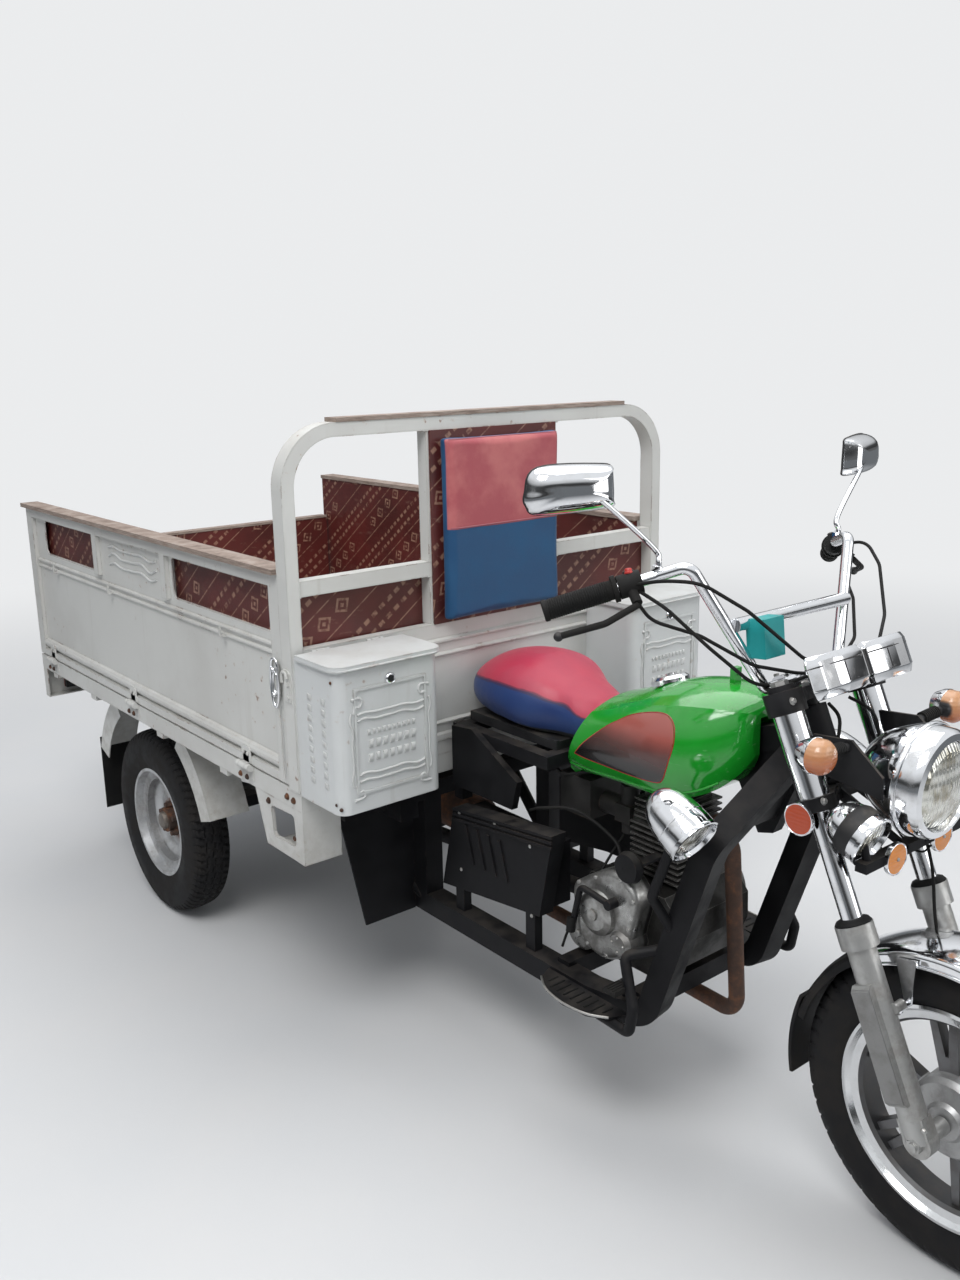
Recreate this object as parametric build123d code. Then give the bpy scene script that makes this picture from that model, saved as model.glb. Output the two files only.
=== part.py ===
from build123d import *
import os
from math import cos, radians, sin, tan

# Cargo motor tricycle: a rider's front end and a three sided drop gate bed.
# Millimetres, +X forward, +Y to the left, +Z up, ground at zero.
# Sizes are measured from the headboard's front face; everything is then moved so
# that the middle of the length is at zero.

os.makedirs("parts", exist_ok=True)

# General clearances
SWING_GAP = 5.0
PIN_GAP = 0.08
SHEET = 3.0
PLY = 8.0

# Bed
BED_LENGTH = 1645.0
BED_HALF = 560.0
SILL_BOTTOM = 621.0
SILL_TOP = 667.0
SILL_FLANGE = 40.0
FLOOR_TOP = 664.0
SIDE_TOP = 1145.0
TAIL_TOP = 1004.0
GATE_DEPTH = 27.0
CAP_WIDTH = 50.0
CAP_THICK = 12.0
HINGE_OUT = 10.0
HINGE_UP = 1.0
HINGE_R = 8.0
HINGE_PIN_R = 4.0
HINGE_LONG = 60.0
SKIRT_BOTTOM = 525.0
SKIRT_DEPTH = 32.0

# Headboard and hoop
HOOP_DEPTH = 42.0
HOOP_WIDTH = 30.0
HOOP_HALF = 565.0
HOOP_TOP = 1456.0
HOOP_BEND = 118.0
UPRIGHT_IN = 159.0
UPRIGHT_WIDTH = 36.0
MID_BAR = (1098.0, 1132.0)
HEADBOARD_TOP = 985.0
PAD_HALF = 180.0
PAD_Z = (986.0, 1420.0)
PAD_X = (5.0, 45.0)

# Toolboxes
BOX_FRONT = 165.0
BOX_INNER = 297.0
BOX_BOTTOM = 661.0
BOX_TOP = 971.0
BOX_CORNER = 26.0
LID_AXIS_X = 10.0
LID_RIM = 9.0

# Rear running gear
AXLE_X = -977.0
REAR_R = 272.0
REAR_Y = 445.0
REAR_RIM_R = 152.0
REAR_LIP_R = 175.0
SPRING_Y = 300.0
PIN_HALF = 38.0
RAIL_BED_Z = (545.0, 605.0)
AXLE_TUBE_R = 30.0
DRUM_R = 98.0

# Engine
ENGINE_Y = 110.0
CYL_X = 585.0
CYL_BASE = 515.0
CYL_TOP = 712.0
PORT_Z = 628.0

# Front frame
RAIL_Y = 200.0
RAIL_WIDE = 50.0
RAIL_Z = (265.0, 315.0)

# Steering geometry
RAKE = 24.2
HEAD_X = 922.5
HEAD_Z = 900.0
FORK_Y = 118.0
FORK_LEAD = 40.0
FRONT_R = 296.0
FRONT_RIM_R = 196.0
FRONT_LIP_R = 205.0

# Front fender
FENDER_R = 316.0
FENDER_THICK = 3.0
FENDER_HALF = 66.0
FENDER_ENDS = (20.0, 128.0)
TAIL_END = 166.0
FLAP_END = 191.0


def box(x0, x1, y0, y1, z0, z1):
    """Block between two corners."""
    middle = Pos((x0 + x1) / 2, (y0 + y1) / 2, (z0 + z1) / 2)
    return middle * Box(abs(x1 - x0), abs(y1 - y0), abs(z1 - z0))


def plate_y(points, y0, y1):
    """Flat piece drawn in (x, z) and thick along Y."""
    face = Plane.XZ.offset(-y1) * make_face(Polyline(*points, close=True))
    return extrude(face, amount=y1 - y0)


def plate_x(points, x0, x1):
    """Flat piece drawn in (y, z) and thick along X."""
    face = Plane.YZ.offset(x0) * make_face(Polyline(*points, close=True))
    return extrude(face, amount=x1 - x0)


def plate_z(points, z0, z1):
    """Flat piece drawn in (x, y) and thick along Z."""
    face = Plane.XY.offset(z0) * make_face(Polyline(*points, close=True))
    return extrude(face, amount=z1 - z0)


def spin(points, centre=(0, 0, 0), axis=(0, 0, 1)):
    """Turned piece from (radius, along) points, about an axis through centre."""
    face = Plane.XZ * make_face(Polyline(*points, close=True))
    turned = revolve(face, axis=Axis.Z, revolution_arc=360)
    return Plane(origin=centre, z_dir=axis) * turned


def rod(start, end, radius):
    """Round bar between two points."""
    run = Vector(*end) - Vector(*start)
    bar = Cylinder(radius, run.length, align=(Align.CENTER, Align.CENTER, Align.MIN))
    return Plane(origin=start, z_dir=run) * bar


def rod_y(x, z, y_start, y_end, radius):
    """Round bar straight across the vehicle."""
    return rod((x, y_start, z), (x, y_end, z), radius)


def bent_bar(points, bend, radius):
    """Round bar along a bent centre line."""
    line = FilletPolyline(*points, radius=bend)
    section = Plane(origin=line @ 0, z_dir=line % 0) * Circle(radius)
    return sweep(section, path=line)


def bent_box(points, bend, wide, high, side=(0, 1, 0)):
    """Rectangular bar along a bent centre line; wide is along the side direction."""
    line = FilletPolyline(*points, radius=bend)
    start = Plane(origin=line @ 0, x_dir=side, z_dir=line % 0)
    return sweep(start * Rectangle(wide, high), path=line)


def left(shape):
    """The same piece on the other side of the vehicle."""
    return mirror(shape, about=Plane.XZ)


def both(shape):
    return shape + left(shape)


def save(name, shape):
    placed = Pos(SHIFT, 0, 0) * Part(Compound(children=shape.solids()).wrapped)
    export_step(placed, "parts/" + name + ".step")


# Steering frame: local X forward, local Z up along the steering axis
HEAD = Plane(
    origin=(HEAD_X, 0, HEAD_Z),
    x_dir=(cos(radians(RAKE)), 0, sin(radians(RAKE))),
    z_dir=(-sin(radians(RAKE)), 0, cos(radians(RAKE))),
)


def on_fork(x, y, z):
    """Point given in the steering frame, as a point of the vehicle."""
    return (
        HEAD_X + x * cos(radians(RAKE)) - z * sin(radians(RAKE)),
        y,
        HEAD_Z + x * sin(radians(RAKE)) + z * cos(radians(RAKE)),
    )


# The front axle sits on the fork's line, at the height of the tyre's radius
AXLE_DROP = (FRONT_R - HEAD_Z - FORK_LEAD * sin(radians(RAKE))) / cos(radians(RAKE))
AXLE = on_fork(FORK_LEAD, 0, AXLE_DROP)

# The middle of the length, from the fender's tip to the tailgate's hinges
FRONT_END = AXLE[0] + FENDER_R * cos(radians(FENDER_ENDS[0]))
REAR_END = -BED_LENGTH - HINGE_OUT - HINGE_R
SHIFT = -(FRONT_END + REAR_END) / 2

# Main frame
HEAD_TUBE_R = 26.0
HEAD_TUBE_Z = (-78.0, 62.0)
STEM_R = 15.0
LOWER_YOKE = (-108.0, -84.0)
UPPER_YOKE = (76.0, 100.0)
UPPER_CLAMP = (64.0, 104.0)
head_tube = HEAD * Pos(0, 0, HEAD_TUBE_Z[0]) * Cylinder(
    HEAD_TUBE_R,
    HEAD_TUBE_Z[1] - HEAD_TUBE_Z[0],
    align=(Align.CENTER, Align.CENTER, Align.MIN),
)
stem_bore = HEAD * Cylinder(STEM_R + PIN_GAP, 400)
rail_mid = sum(RAIL_Z) / 2
TUBE_Y = 170.0
TUBE_SHOULDER = (815.0, 700.0)
TUBE_HEAD = (885.0, 864.0)
down_tube = bent_box(
    [
        (-60, -RAIL_Y, rail_mid), (540, -RAIL_Y, rail_mid), (676, -TUBE_Y - 2, rail_mid),
        (TUBE_SHOULDER[0], -TUBE_Y, TUBE_SHOULDER[1]), (TUBE_HEAD[0], -24, TUBE_HEAD[1]),
    ],
    60,
    RAIL_WIDE,
    RAIL_WIDE,
)
web_rise = Vector(TUBE_HEAD[0] - TUBE_SHOULDER[0], 0, TUBE_HEAD[1] - TUBE_SHOULDER[1])
web_foot = (TUBE_SHOULDER[0] + 24, 0, TUBE_SHOULDER[1] + 24)
web_plane = Plane(origin=web_foot, x_dir=(0, 1, 0), z_dir=(web_rise.Z, 0, -web_rise.X))
head_web = extrude(
    web_plane * make_face(Polyline((-TUBE_Y, 0), (TUBE_Y, 0), (36, 128), (-36, 128), close=True)),
    amount=-5,
)
backbone = bent_box([(905, 0, 905), (330, 0, 722), (20, 0, 722)], 80, 40, 48)
gusset = plate_y([(905, 900), (740, 850), (740, 790), (800, 680), (835, 690), (905, 850)], -14, 14)
SEAT_RAIL_Y = 140.0
seat_rail = box(20, 350, -SEAT_RAIL_Y - 15, -SEAT_RAIL_Y + 15, 716, 746)
seat_post = box(20, 50, -SEAT_RAIL_Y - 15, -SEAT_RAIL_Y + 15, 560, 716)
seat_plate = plate_y([(36, 746), (108, 754), (268, 669), (250, 600), (36, 600)], -172, -155)
rear_cross = box(20, 50, -SEAT_RAIL_Y, SEAT_RAIL_Y, 720, 744)
front_cross = box(320, 350, -SEAT_RAIL_Y, SEAT_RAIL_Y, 716, 746)
riser = box(-60, -10, -RAIL_Y - 25, -RAIL_Y + 25, RAIL_Z[1], 560)
mount_rear = box(430, 466, -RAIL_Y, RAIL_Y, 282, 325)
mount_front = box(620, 656, -175, 175, 282, 325)
main_frame = backbone + gusset + head_web + rear_cross + front_cross + mount_rear + mount_front
main_frame += both(down_tube + seat_rail + seat_post + seat_plate + riser)
main_frame += head_tube
main_frame -= stem_bore
yoke_middle = (LOWER_YOKE[0] + LOWER_YOKE[1]) / 2
yoke_room = HEAD * Pos(0, 0, yoke_middle) * Cylinder(46, LOWER_YOKE[1] - LOWER_YOKE[0] + 2 * SWING_GAP)
main_frame -= yoke_room
save("main_frame", main_frame)

# Bed chassis under the floor
RAIL_END = -BED_LENGTH + 45
bed_rail = box(RAIL_END, 36, -SPRING_Y - 25, -SPRING_Y + 25, *RAIL_BED_Z)
bed_chassis = both(bed_rail)
for x in (RAIL_END + 10, AXLE_X - 203, AXLE_X + 217, -60):
    bed_chassis += box(x, x + 50, -SPRING_Y, SPRING_Y, 560, 600)
bed_chassis += both(box(-60, -20, -440, -SPRING_Y, 560, 600))
bed_chassis += both(plate_x([(-440, 600), (-370, 262), (-225, 262), (-225, 600)], -65, -60))
brace = rod((-40, -RAIL_Y - 10, 300), (-420, -SPRING_Y, 560), 16)
SPRING_FRONT_X = -600.0
SPRING_REAR_X = -1355.0
SPRING_EYE_Z = 452.0
SPRING_EYE_R = 18.0
hanger_front = plate_y([(-650, 545), (-550, 545), (-582, 434), (-618, 434)], -SPRING_Y - 36, -SPRING_Y - 30)
hanger_front += plate_y([(-650, 545), (-550, 545), (-582, 434), (-618, 434)], -SPRING_Y + 30, -SPRING_Y + 36)
hanger_front += rod_y(SPRING_FRONT_X, SPRING_EYE_Z, -SPRING_Y - PIN_HALF, -SPRING_Y + PIN_HALF, 8)
hanger_front += box(-650, -550, -SPRING_Y - 36, -SPRING_Y + 36, 541, 546)
hanger_rear = box(-1400, -1310, -SPRING_Y - 36, -SPRING_Y + 36, 541, 546)
rear_cheek = [(-1385, 545), (-1325, 545), (-1337, 434), (-1373, 434)]
hanger_rear += plate_y(rear_cheek, -SPRING_Y - 36, -SPRING_Y - 30)
hanger_rear += plate_y(rear_cheek, -SPRING_Y + 30, -SPRING_Y + 36)
hanger_rear += rod_y(SPRING_REAR_X, SPRING_EYE_Z, -SPRING_Y - PIN_HALF, -SPRING_Y + PIN_HALF, 8)
bed_chassis += both(brace - down_tube - riser + hanger_front + hanger_rear)
save("bed_chassis", bed_chassis)

# Leaf springs: a full leaf with eyes and four shorter ones below it
LEAF_HALF = 25.0
LEAF_THICK = 7.0
SPRING_LOW = 322.0


def leaf(x0, x1, z_end, z_low):
    """One curved leaf with its ends at x0 and x1."""
    middle = ((x0 + x1) / 2, z_low)
    z_top = z_end + LEAF_THICK
    top = ThreePointArc((x0, z_top), (middle[0], middle[1] + LEAF_THICK), (x1, z_top))
    low = ThreePointArc((x0, z_end), middle, (x1, z_end))
    ends = [Line((x0, z_end), (x0, z_end + LEAF_THICK)), Line((x1, z_end), (x1, z_end + LEAF_THICK))]
    face = Plane.XZ.offset(SPRING_Y + LEAF_HALF) * make_face([top, low, *ends])
    return extrude(face, amount=-2 * LEAF_HALF)


spring = leaf(SPRING_FRONT_X, SPRING_REAR_X, SPRING_EYE_Z - 12, 362)
spring_sag = SPRING_EYE_Z - 12 - 362
for step in (1, 2, 3, 4):
    half = (SPRING_FRONT_X - SPRING_REAR_X) / 2 * (1 - 0.17 * step)
    rise = spring_sag * (1 - 0.17 * step) ** 2
    low = 362 - LEAF_THICK * step
    spring += leaf(AXLE_X + half, AXLE_X - half, low + rise, low)
for x in (SPRING_FRONT_X, SPRING_REAR_X):
    eye = rod_y(x, SPRING_EYE_Z, -SPRING_Y - LEAF_HALF, -SPRING_Y + LEAF_HALF, SPRING_EYE_R)
    spring += eye
    spring -= rod((x, -SPRING_Y - 30, SPRING_EYE_Z), (x, -SPRING_Y + 30, SPRING_EYE_Z), 8)
seat_block = box(AXLE_X - 50, AXLE_X + 50, -SPRING_Y - 30, -SPRING_Y + 30, REAR_R + AXLE_TUBE_R, 334)
save("leaf_springs", both(spring + seat_block))

# Rear axle: tube, gear housing and brake backing plates
axle = rod((AXLE_X, -352, REAR_R), (AXLE_X, 352, REAR_R), AXLE_TUBE_R)
axle += spin(
    [(0, -80), (50, -80), (88, -45), (95, 0), (88, 45), (50, 80), (0, 80)],
    (AXLE_X, 0, REAR_R),
    (0, 1, 0),
)
GEARBOX_OUT = (398, -30, 400)
shaft_run = Vector(*GEARBOX_OUT) - Vector(AXLE_X, 0, REAR_R)
shaft_rear = tuple(Vector(AXLE_X, 0, REAR_R) + shaft_run.normalized() * 150)
axle += rod((AXLE_X, 0, REAR_R), shaft_rear, 42)
plate = spin([(0, -8), (DRUM_R, -8), (DRUM_R, 8), (0, 8)], (AXLE_X, -356, REAR_R), (0, 1, 0))
stub = rod((AXLE_X, -364, REAR_R), (AXLE_X, -470, REAR_R), 17.0)
axle += both(plate + stub)
save("rear_axle", axle)

# Engine
case_side = [
    (402, 345), (402, CYL_BASE - 70), (440, CYL_BASE - 14), (520, CYL_BASE), (650, CYL_BASE),
    (688, CYL_BASE - 40), (690, 420), (664, 348), (610, 325), (430, 325),
]
engine = plate_y(case_side, -ENGINE_Y, ENGINE_Y)
COVER_OUT = 52.0
CASE_FACE = ENGINE_Y + COVER_OUT
CLUTCH = (515.0, 450.0)
cover_line = Spline(
    (443, 495), (500, 533), (579, 553), (620, 510), (608, 440),
    (592, 385), (540, 348), (478, 356), (440, 420),
    periodic=True,
)
cover = extrude(Plane.XZ.offset(ENGINE_Y) * make_face(cover_line), amount=COVER_OUT)
cover = fillet(cover.edges().sort_by(Axis.Y)[0], 14)
clutch_dome = [(0, 0), (50, 0), (47, 10), (34, 17), (0, 19)]
cover += spin(clutch_dome, (CLUTCH[0], -ENGINE_Y - COVER_OUT, CLUTCH[1]), (0, -1, 0))
cover += spin([(0, 0), (30, 0), (30, 50), (22, 60), (0, 60)], (578, -ENGINE_Y, 402), (0, -1, 0))
cover += spin([(0, 0), (40, 0), (40, 40), (32, 48), (0, 48)], (452, -ENGINE_Y, 376), (0, -1, 0))
COVER_X = 536.0
COVER_Z = 468.0
far_dome = [(0, 0), (84, 0), (84, 30), (70, 45), (0, 45)]
far_cover = spin(far_dome, (COVER_X + 40, ENGINE_Y, COVER_Z - 18), (0, 1, 0))
far_cover += plate_y([(410, 380), (410, 470), (520, 540), (560, 400), (480, 350)], ENGINE_Y, ENGINE_Y + 26)
out_boss = rod(tuple(Vector(*GEARBOX_OUT) + shaft_run.normalized() * 30), GEARBOX_OUT, 30)
save("engine_case", engine + cover + far_cover + out_boss)

# Cylinder and head with their cooling fins
FIN_COUNT = 13
FIN_THICK = 4.0
FIN_FOOT = 12.0
HEAD_COVER = 16.0
fin_pitch = (CYL_TOP - HEAD_COVER - CYL_BASE - FIN_FOOT) / FIN_COUNT
cylinder = box(CYL_X - 48, CYL_X + 48, -50, 50, CYL_BASE, CYL_TOP - HEAD_COVER)
for step in range(FIN_COUNT):
    z = CYL_BASE + FIN_FOOT + step * fin_pitch
    wide = 66 if step < 9 else 60
    fin = box(CYL_X - wide, CYL_X + wide, -wide - 8, wide + 8, z, z + FIN_THICK)
    cylinder += fin
cylinder += box(CYL_X - 40, CYL_X + 40, -46, 46, CYL_TOP - HEAD_COVER - 8, CYL_TOP)
save("engine_cylinder", cylinder)

# Carburettor and its intake
INTAKE_Z = PORT_Z - 3
carb = rod((450, -20, INTAKE_Z), (CYL_X - 66, -20, INTAKE_Z), 17)
carb += box(448, 492, -48, 2, INTAKE_Z - 20, INTAKE_Z + 20)
carb += rod((470, -23, INTAKE_Z + 20), (470, -23, INTAKE_Z + 62), 20)
carb += rod((470, -23, INTAKE_Z - 47), (470, -23, INTAKE_Z - 20), 18)
carb += rod((395, -20, INTAKE_Z), (448, -20, INTAKE_Z), 24)
carb += box(300, 395, -70, 60, INTAKE_Z - 32, INTAKE_Z + 58)
save("carburettor", carb)

# Exhaust: header from the cylinder, under the engine to the silencer
header = bent_bar(
    [
        (CYL_X + 66, 30, PORT_Z), (704, 30, PORT_Z), (731, 34, 236),
        (560, 50, 228), (60, 60, 232), (-130, 120, 330), (-200, 120, 345),
    ],
    42,
    17,
)
silencer = spin([(0, 0), (26, 0), (58, 34), (58, 420), (26, 455), (0, 455)], (-190, 120, 345), (-1, 0, 0.02))
flange = box(CYL_X + 66, CYL_X + 74, -4, 64, PORT_Z - 28, PORT_Z + 28)
save("exhaust", header + silencer + flange)

# Drive shaft from the gearbox to the rear axle
shaft = rod(GEARBOX_OUT, shaft_rear, 19)
shaft += rod(GEARBOX_OUT, tuple(Vector(*GEARBOX_OUT) - shaft_run.normalized() * 55), 32)
shaft += rod(shaft_rear, tuple(Vector(*shaft_rear) + shaft_run.normalized() * 60), 32)
save("drive_shaft", shaft)

# Side boxes for the battery and air filter
box_rear = (40, 88)
box_front = (385, 428)
box_low = (360, 405)
box_high = (568, 606)
side_outline = [
    (box_rear[0], box_low[0]), (box_front[0], box_low[1]),
    (box_front[1], box_high[1]), (box_rear[1], box_high[0]),
]
side_box = plate_y(side_outline, -212, -172)
for drop in (0, 12, 24):
    side_box += plate_y(
        [
            (box_rear[1], box_high[0] - drop), (box_front[1], box_high[1] - drop),
            (box_front[1], box_high[1] - drop - 6), (box_rear[1], box_high[0] - drop - 6),
        ],
        -216, -212,
    )
for x in (130, 170, 210, 250):
    side_box += plate_y([(x, 540), (x + 8, 540), (x + 34, 450), (x + 26, 450)], -216, -212)
side_box += box(90, 385, -180, -120, 415, 560)
for x in (90, 340):
    side_box += box(x, x + 30, -212, -190, RAIL_Z[1], 410)
save("side_boxes", both(side_box))


# Fuel tank and seat, both lofted along the vehicle
def shell_section(x, wide, z_low, z_side, z_top):
    """Rounded section across the vehicle at x."""
    shoulder = z_side + 0.72 * (z_top - z_side)
    foot = 0.84 * wide
    neck = 0.74 * wide
    edges = [
        Line((-foot, z_low), (foot, z_low)),
        ThreePointArc((foot, z_low), (wide, z_side), (neck, shoulder)),
        ThreePointArc((neck, shoulder), (0, z_top), (-neck, shoulder)),
        ThreePointArc((-neck, shoulder), (-wide, z_side), (-foot, z_low)),
    ]
    return Plane.YZ.offset(x) * make_face(edges)


TANK_REAR = ((352, 710), (462, 930))
tank = loft([
    shell_section(350, 108, 718, 770, 846),
    shell_section(450, 132, 726, 800, 888),
    shell_section(560, 146, 736, 822, 930),
    shell_section(680, 148, 746, 842, 962),
    shell_section(740, 128, 765, 862, 962),
    shell_section(785, 92, 800, 880, 952),
    shell_section(808, 50, 845, 895, 935),
])
behind = plate_y([(300, 700), TANK_REAR[0], TANK_REAR[1], (300, 930)], -200, 200)
tunnel = plate_y([(300, 690), (300, 772), (880, 938), (900, 938), (900, 690)], -30, 30)
tank = tank - behind - tunnel
ear = plate_y([(362, 745), (362, 712), (384, 704), (400, 728)], -96, -84)
tank += both(ear)
tank += box(716, 728, -10, 10, 950, 994) - rod((710, 0, 982), (734, 0, 982), 4)
CAP_PLACE = (562, 0, 925)
CAP_TILT = (-0.33, 0, 1)
tank += spin([(0, -12), (33, -12), (33, 6), (0, 6)], CAP_PLACE, CAP_TILT)
cap = spin([(0, 6), (37, 6), (37, 13), (30, 19), (0, 22)], CAP_PLACE, CAP_TILT)
cap += Plane(origin=CAP_PLACE, z_dir=CAP_TILT) * box(-12, 12, -48, -34, 4, 14)
save("fuel_tank", tank - cap)
save("fuel_cap", cap)

seat = loft([
    shell_section(12, 92, 790, 822, 872),
    shell_section(60, 128, 780, 832, 908),
    shell_section(150, 146, 772, 835, 922),
    shell_section(250, 144, 766, 825, 912),
    shell_section(345, 112, 766, 812, 868),
    shell_section(440, 66, 800, 832, 884),
])
seat_front = plate_y([(346, 700), (450, 908), (450, 1000), (600, 1000), (600, 700)], -200, 200)
seat = seat - seat_front
seat_base = box(30, 330, -110, 110, 746, 768) - main_frame
save("rider_seat", seat)
save("seat_base", seat_base - seat)

# Engine guards with footboards, both sides
guard = bent_bar(
    [
        (716, -176, 455), (664, -238, 440), (706, -256, 350),
        (696, -256, 293), (560, -250, 292), (560, -205, 290),
    ],
    15,
    11,
)
foot_plate = [
    (430, -RAIL_Y - 25), (446, -262), (490, -288), (550, -298), (610, -290), (650, -266), (668, -RAIL_Y - 25),
]
guard += plate_z(foot_plate, 303, 308)
GUARD_TAIL = (745.0, -250.0, 805.0)
GUARD_AXIS = (0.851, 0, -0.525)
SPOT_TAIL = (1040.0, -131.0, 830.0)
SPOT_LONG = 84.0
SPOT_AXIS = (0.93, 0, -0.37)


def bullet(radius, length):
    """Section of a bullet shaped lamp, its mouth at the far end."""
    return [
        (0, 0), (0.38 * radius, 0.03 * length),
        (0.74 * radius, 0.19 * length), (0.93 * radius, 0.46 * length),
        (radius, 0.80 * length), (radius, length),
        (radius - 4, length), (radius - 6, length - 12), (0, length - 12),
    ]


def bullet_lens(radius, length):
    return [(0, length - 11), (radius - 7, length - 11), (0.7 * radius, length - 7), (0, length - 5)]


guard_lamp = spin(bullet(51, 117), GUARD_TAIL, GUARD_AXIS)
lamp_post = bent_bar([(800, -250, 745), (744, -250, 600), (738, -180, 500)], 25, 10)
save("engine_guards", both(guard + lamp_post - guard_lamp) - main_frame)
save("guard_lamps", both(guard_lamp))

# Foot controls and horn
pedals = bent_bar([(620, -190, RAIL_Z[1]), (620, -196, 352), (672, -268, 372)], 12, 6)
kick = rod((563, -CASE_FACE, 491), (563, -CASE_FACE - 24, 491), 11)
kick_run = [(563, -CASE_FACE - 16, 491), (484, -CASE_FACE - 22, 505), (470, -CASE_FACE - 30, 420)]
kick += bent_bar(kick_run, 12, 7)
HORN = (600.0, 581.0)
horn = spin([(0, 0), (30, 0), (34, 8), (30, 22), (0, 26)], (HORN[0], -150, HORN[1]), (0, -1, 0))
horn += box(HORN[0] - 12, HORN[0] + 12, -150, -60, HORN[1] - 3, HORN[1] + 3) - cylinder
save("foot_controls", pedals - main_frame + kick + horn)

# Bed floor with sills, cross beams and the rear skirt
floor = box(-BED_LENGTH + SHEET, -SHEET, -BED_HALF + SHEET, BED_HALF - SHEET, FLOOR_TOP - SHEET, FLOOR_TOP)
for x in (RAIL_END + 40, AXLE_X - 263, AXLE_X + 207, -400, -120):
    floor += box(x, x + 40, -BED_HALF + SHEET, BED_HALF - SHEET, RAIL_BED_Z[1], FLOOR_TOP - SHEET)
sill = box(-BED_LENGTH, 0, -BED_HALF, -BED_HALF + SHEET, SILL_BOTTOM, SILL_TOP)
sill += box(-BED_LENGTH, 0, -BED_HALF, -BED_HALF + SILL_FLANGE, SILL_TOP - SHEET, SILL_TOP)
sill += box(-BED_LENGTH, 0, -BED_HALF, -BED_HALF + SILL_FLANGE, SILL_BOTTOM, SILL_BOTTOM + SHEET)
skirt = box(-BED_LENGTH, -BED_LENGTH + SHEET, -BED_HALF, BED_HALF, SKIRT_BOTTOM, SILL_TOP)
LAMP_Y = (380.0, 500.0)
LAMP_Z = (545.0, 600.0)
for side in (-1, 1):
    skirt -= box(-BED_LENGTH - 1, -BED_LENGTH + SHEET + 1, side * LAMP_Y[0], side * LAMP_Y[1], *LAMP_Z)
skirt += box(-BED_LENGTH, -BED_LENGTH + SKIRT_DEPTH, -BED_HALF, BED_HALF, SKIRT_BOTTOM, SKIRT_BOTTOM + SHEET)
skirt += box(-BED_LENGTH, -BED_LENGTH + SILL_FLANGE, -BED_HALF, BED_HALF, SILL_TOP - SHEET, SILL_TOP)
for side in (-1, 1):
    skirt += box(
        -BED_LENGTH, -BED_LENGTH + SKIRT_DEPTH,
        side * (BED_HALF - SHEET), side * BED_HALF,
        SKIRT_BOTTOM, SILL_BOTTOM,
    )
front_sill = box(-SHEET, 0, -BED_HALF, BED_HALF, SILL_BOTTOM, SILL_TOP)


def hinge_fixed(run):
    """Two end knuckles and the pin of one hinge, centred on the origin along X."""
    pin = rod((-run / 2, 0, 0), (run / 2, 0, 0), HINGE_PIN_R)
    part = pin
    for x0, x1 in ((-run / 2, -run / 2 + 15), (run / 2 - 15, run / 2)):
        part += rod((x0, 0, 0), (x1, 0, 0), HINGE_R)
        part += box(x0, x1, 0, HINGE_OUT, -HINGE_R, -1)
    part += box(-run / 2, run / 2, HINGE_OUT - SHEET, HINGE_OUT, -34, -HINGE_R - 2)
    for x0, x1 in ((-run / 2, -run / 2 + 15), (run / 2 - 15, run / 2)):
        part += box(x0, x1, HINGE_OUT - SHEET, HINGE_OUT, -HINGE_R - 2, -1)
    return part


def hinge_moving(run):
    """The middle knuckle and its leaf, centred on the origin along X."""
    inner = run / 2 - 16
    part = rod((-inner, 0, 0), (inner, 0, 0), HINGE_R)
    part += box(-inner, inner, 0, HINGE_OUT, 4, HINGE_R)
    part += box(-inner, inner, HINGE_OUT - SHEET, HINGE_OUT, 4, 34)
    part -= rod((-run, 0, 0), (run, 0, 0), HINGE_PIN_R + PIN_GAP)
    return part


HINGE_Z = SILL_TOP + HINGE_UP
HINGE_IN = (244.0, 121.0)
SIDE_HINGES = (-HINGE_IN[0], -BED_LENGTH / 2 - 75, -BED_LENGTH + HINGE_IN[1])
TAIL_HINGES = (-380.0, 0.0, 380.0)
for x in SIDE_HINGES:
    sill += Pos(x, -BED_HALF - HINGE_OUT, HINGE_Z) * hinge_fixed(HINGE_LONG)
for y in TAIL_HINGES:
    skirt += Pos(-BED_LENGTH - HINGE_OUT, y, HINGE_Z) * Rot(0, 0, -90) * hinge_fixed(HINGE_LONG)
save("bed_floor", floor + both(sill) + skirt + front_sill)

# Folded brackets below the front corners
bracket_outline = [(-213, SILL_BOTTOM), (-170, 497), (0, 494), (0, SILL_BOTTOM)]
bracket = plate_y(bracket_outline, -BED_HALF, -BED_HALF + SHEET)
window_face = Plane.XZ * make_face(Polyline((-143, 598), (-38, 603), (-33, 528), (-137, 525), close=True))
window_face = fillet(window_face.vertices(), 12)
window = Pos(0, -BED_HALF, 0) * extrude(window_face, amount=10, both=True)
lip = Pos(0, -BED_HALF + 9, 0) * extrude(offset(window_face, 3), amount=9)
bracket = bracket + lip - window
bracket += box(-SHEET, 0, -BED_HALF, -464, 498, SILL_BOTTOM)
bracket += box(-170, 0, -BED_HALF, -464, 495, 498)
save("corner_brackets", both(bracket))

# Tail lamps in the skirt
tail = box(-BED_LENGTH, -BED_LENGTH + 28, -LAMP_Y[1], -LAMP_Y[0], *LAMP_Z)
save("tail_lamps", both(tail))

# Headboard: a pressed panel between the hoop's legs
leg_in = HOOP_HALF - HOOP_WIDTH
panel = box(-SHEET, 0, -leg_in, leg_in, SILL_TOP, HEADBOARD_TOP)
panel += box(-25, 0, -leg_in, leg_in, HEADBOARD_TOP - SHEET, HEADBOARD_TOP)
for z0, z1 in ((700, 722), (740, 752), (905, 917), (936, 950)):
    panel += plate_y([(0, z0), (7, z0 + 5), (7, z1 - 5), (0, z1)], -BOX_INNER + 4, BOX_INNER - 4)
save("headboard", panel)

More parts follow.
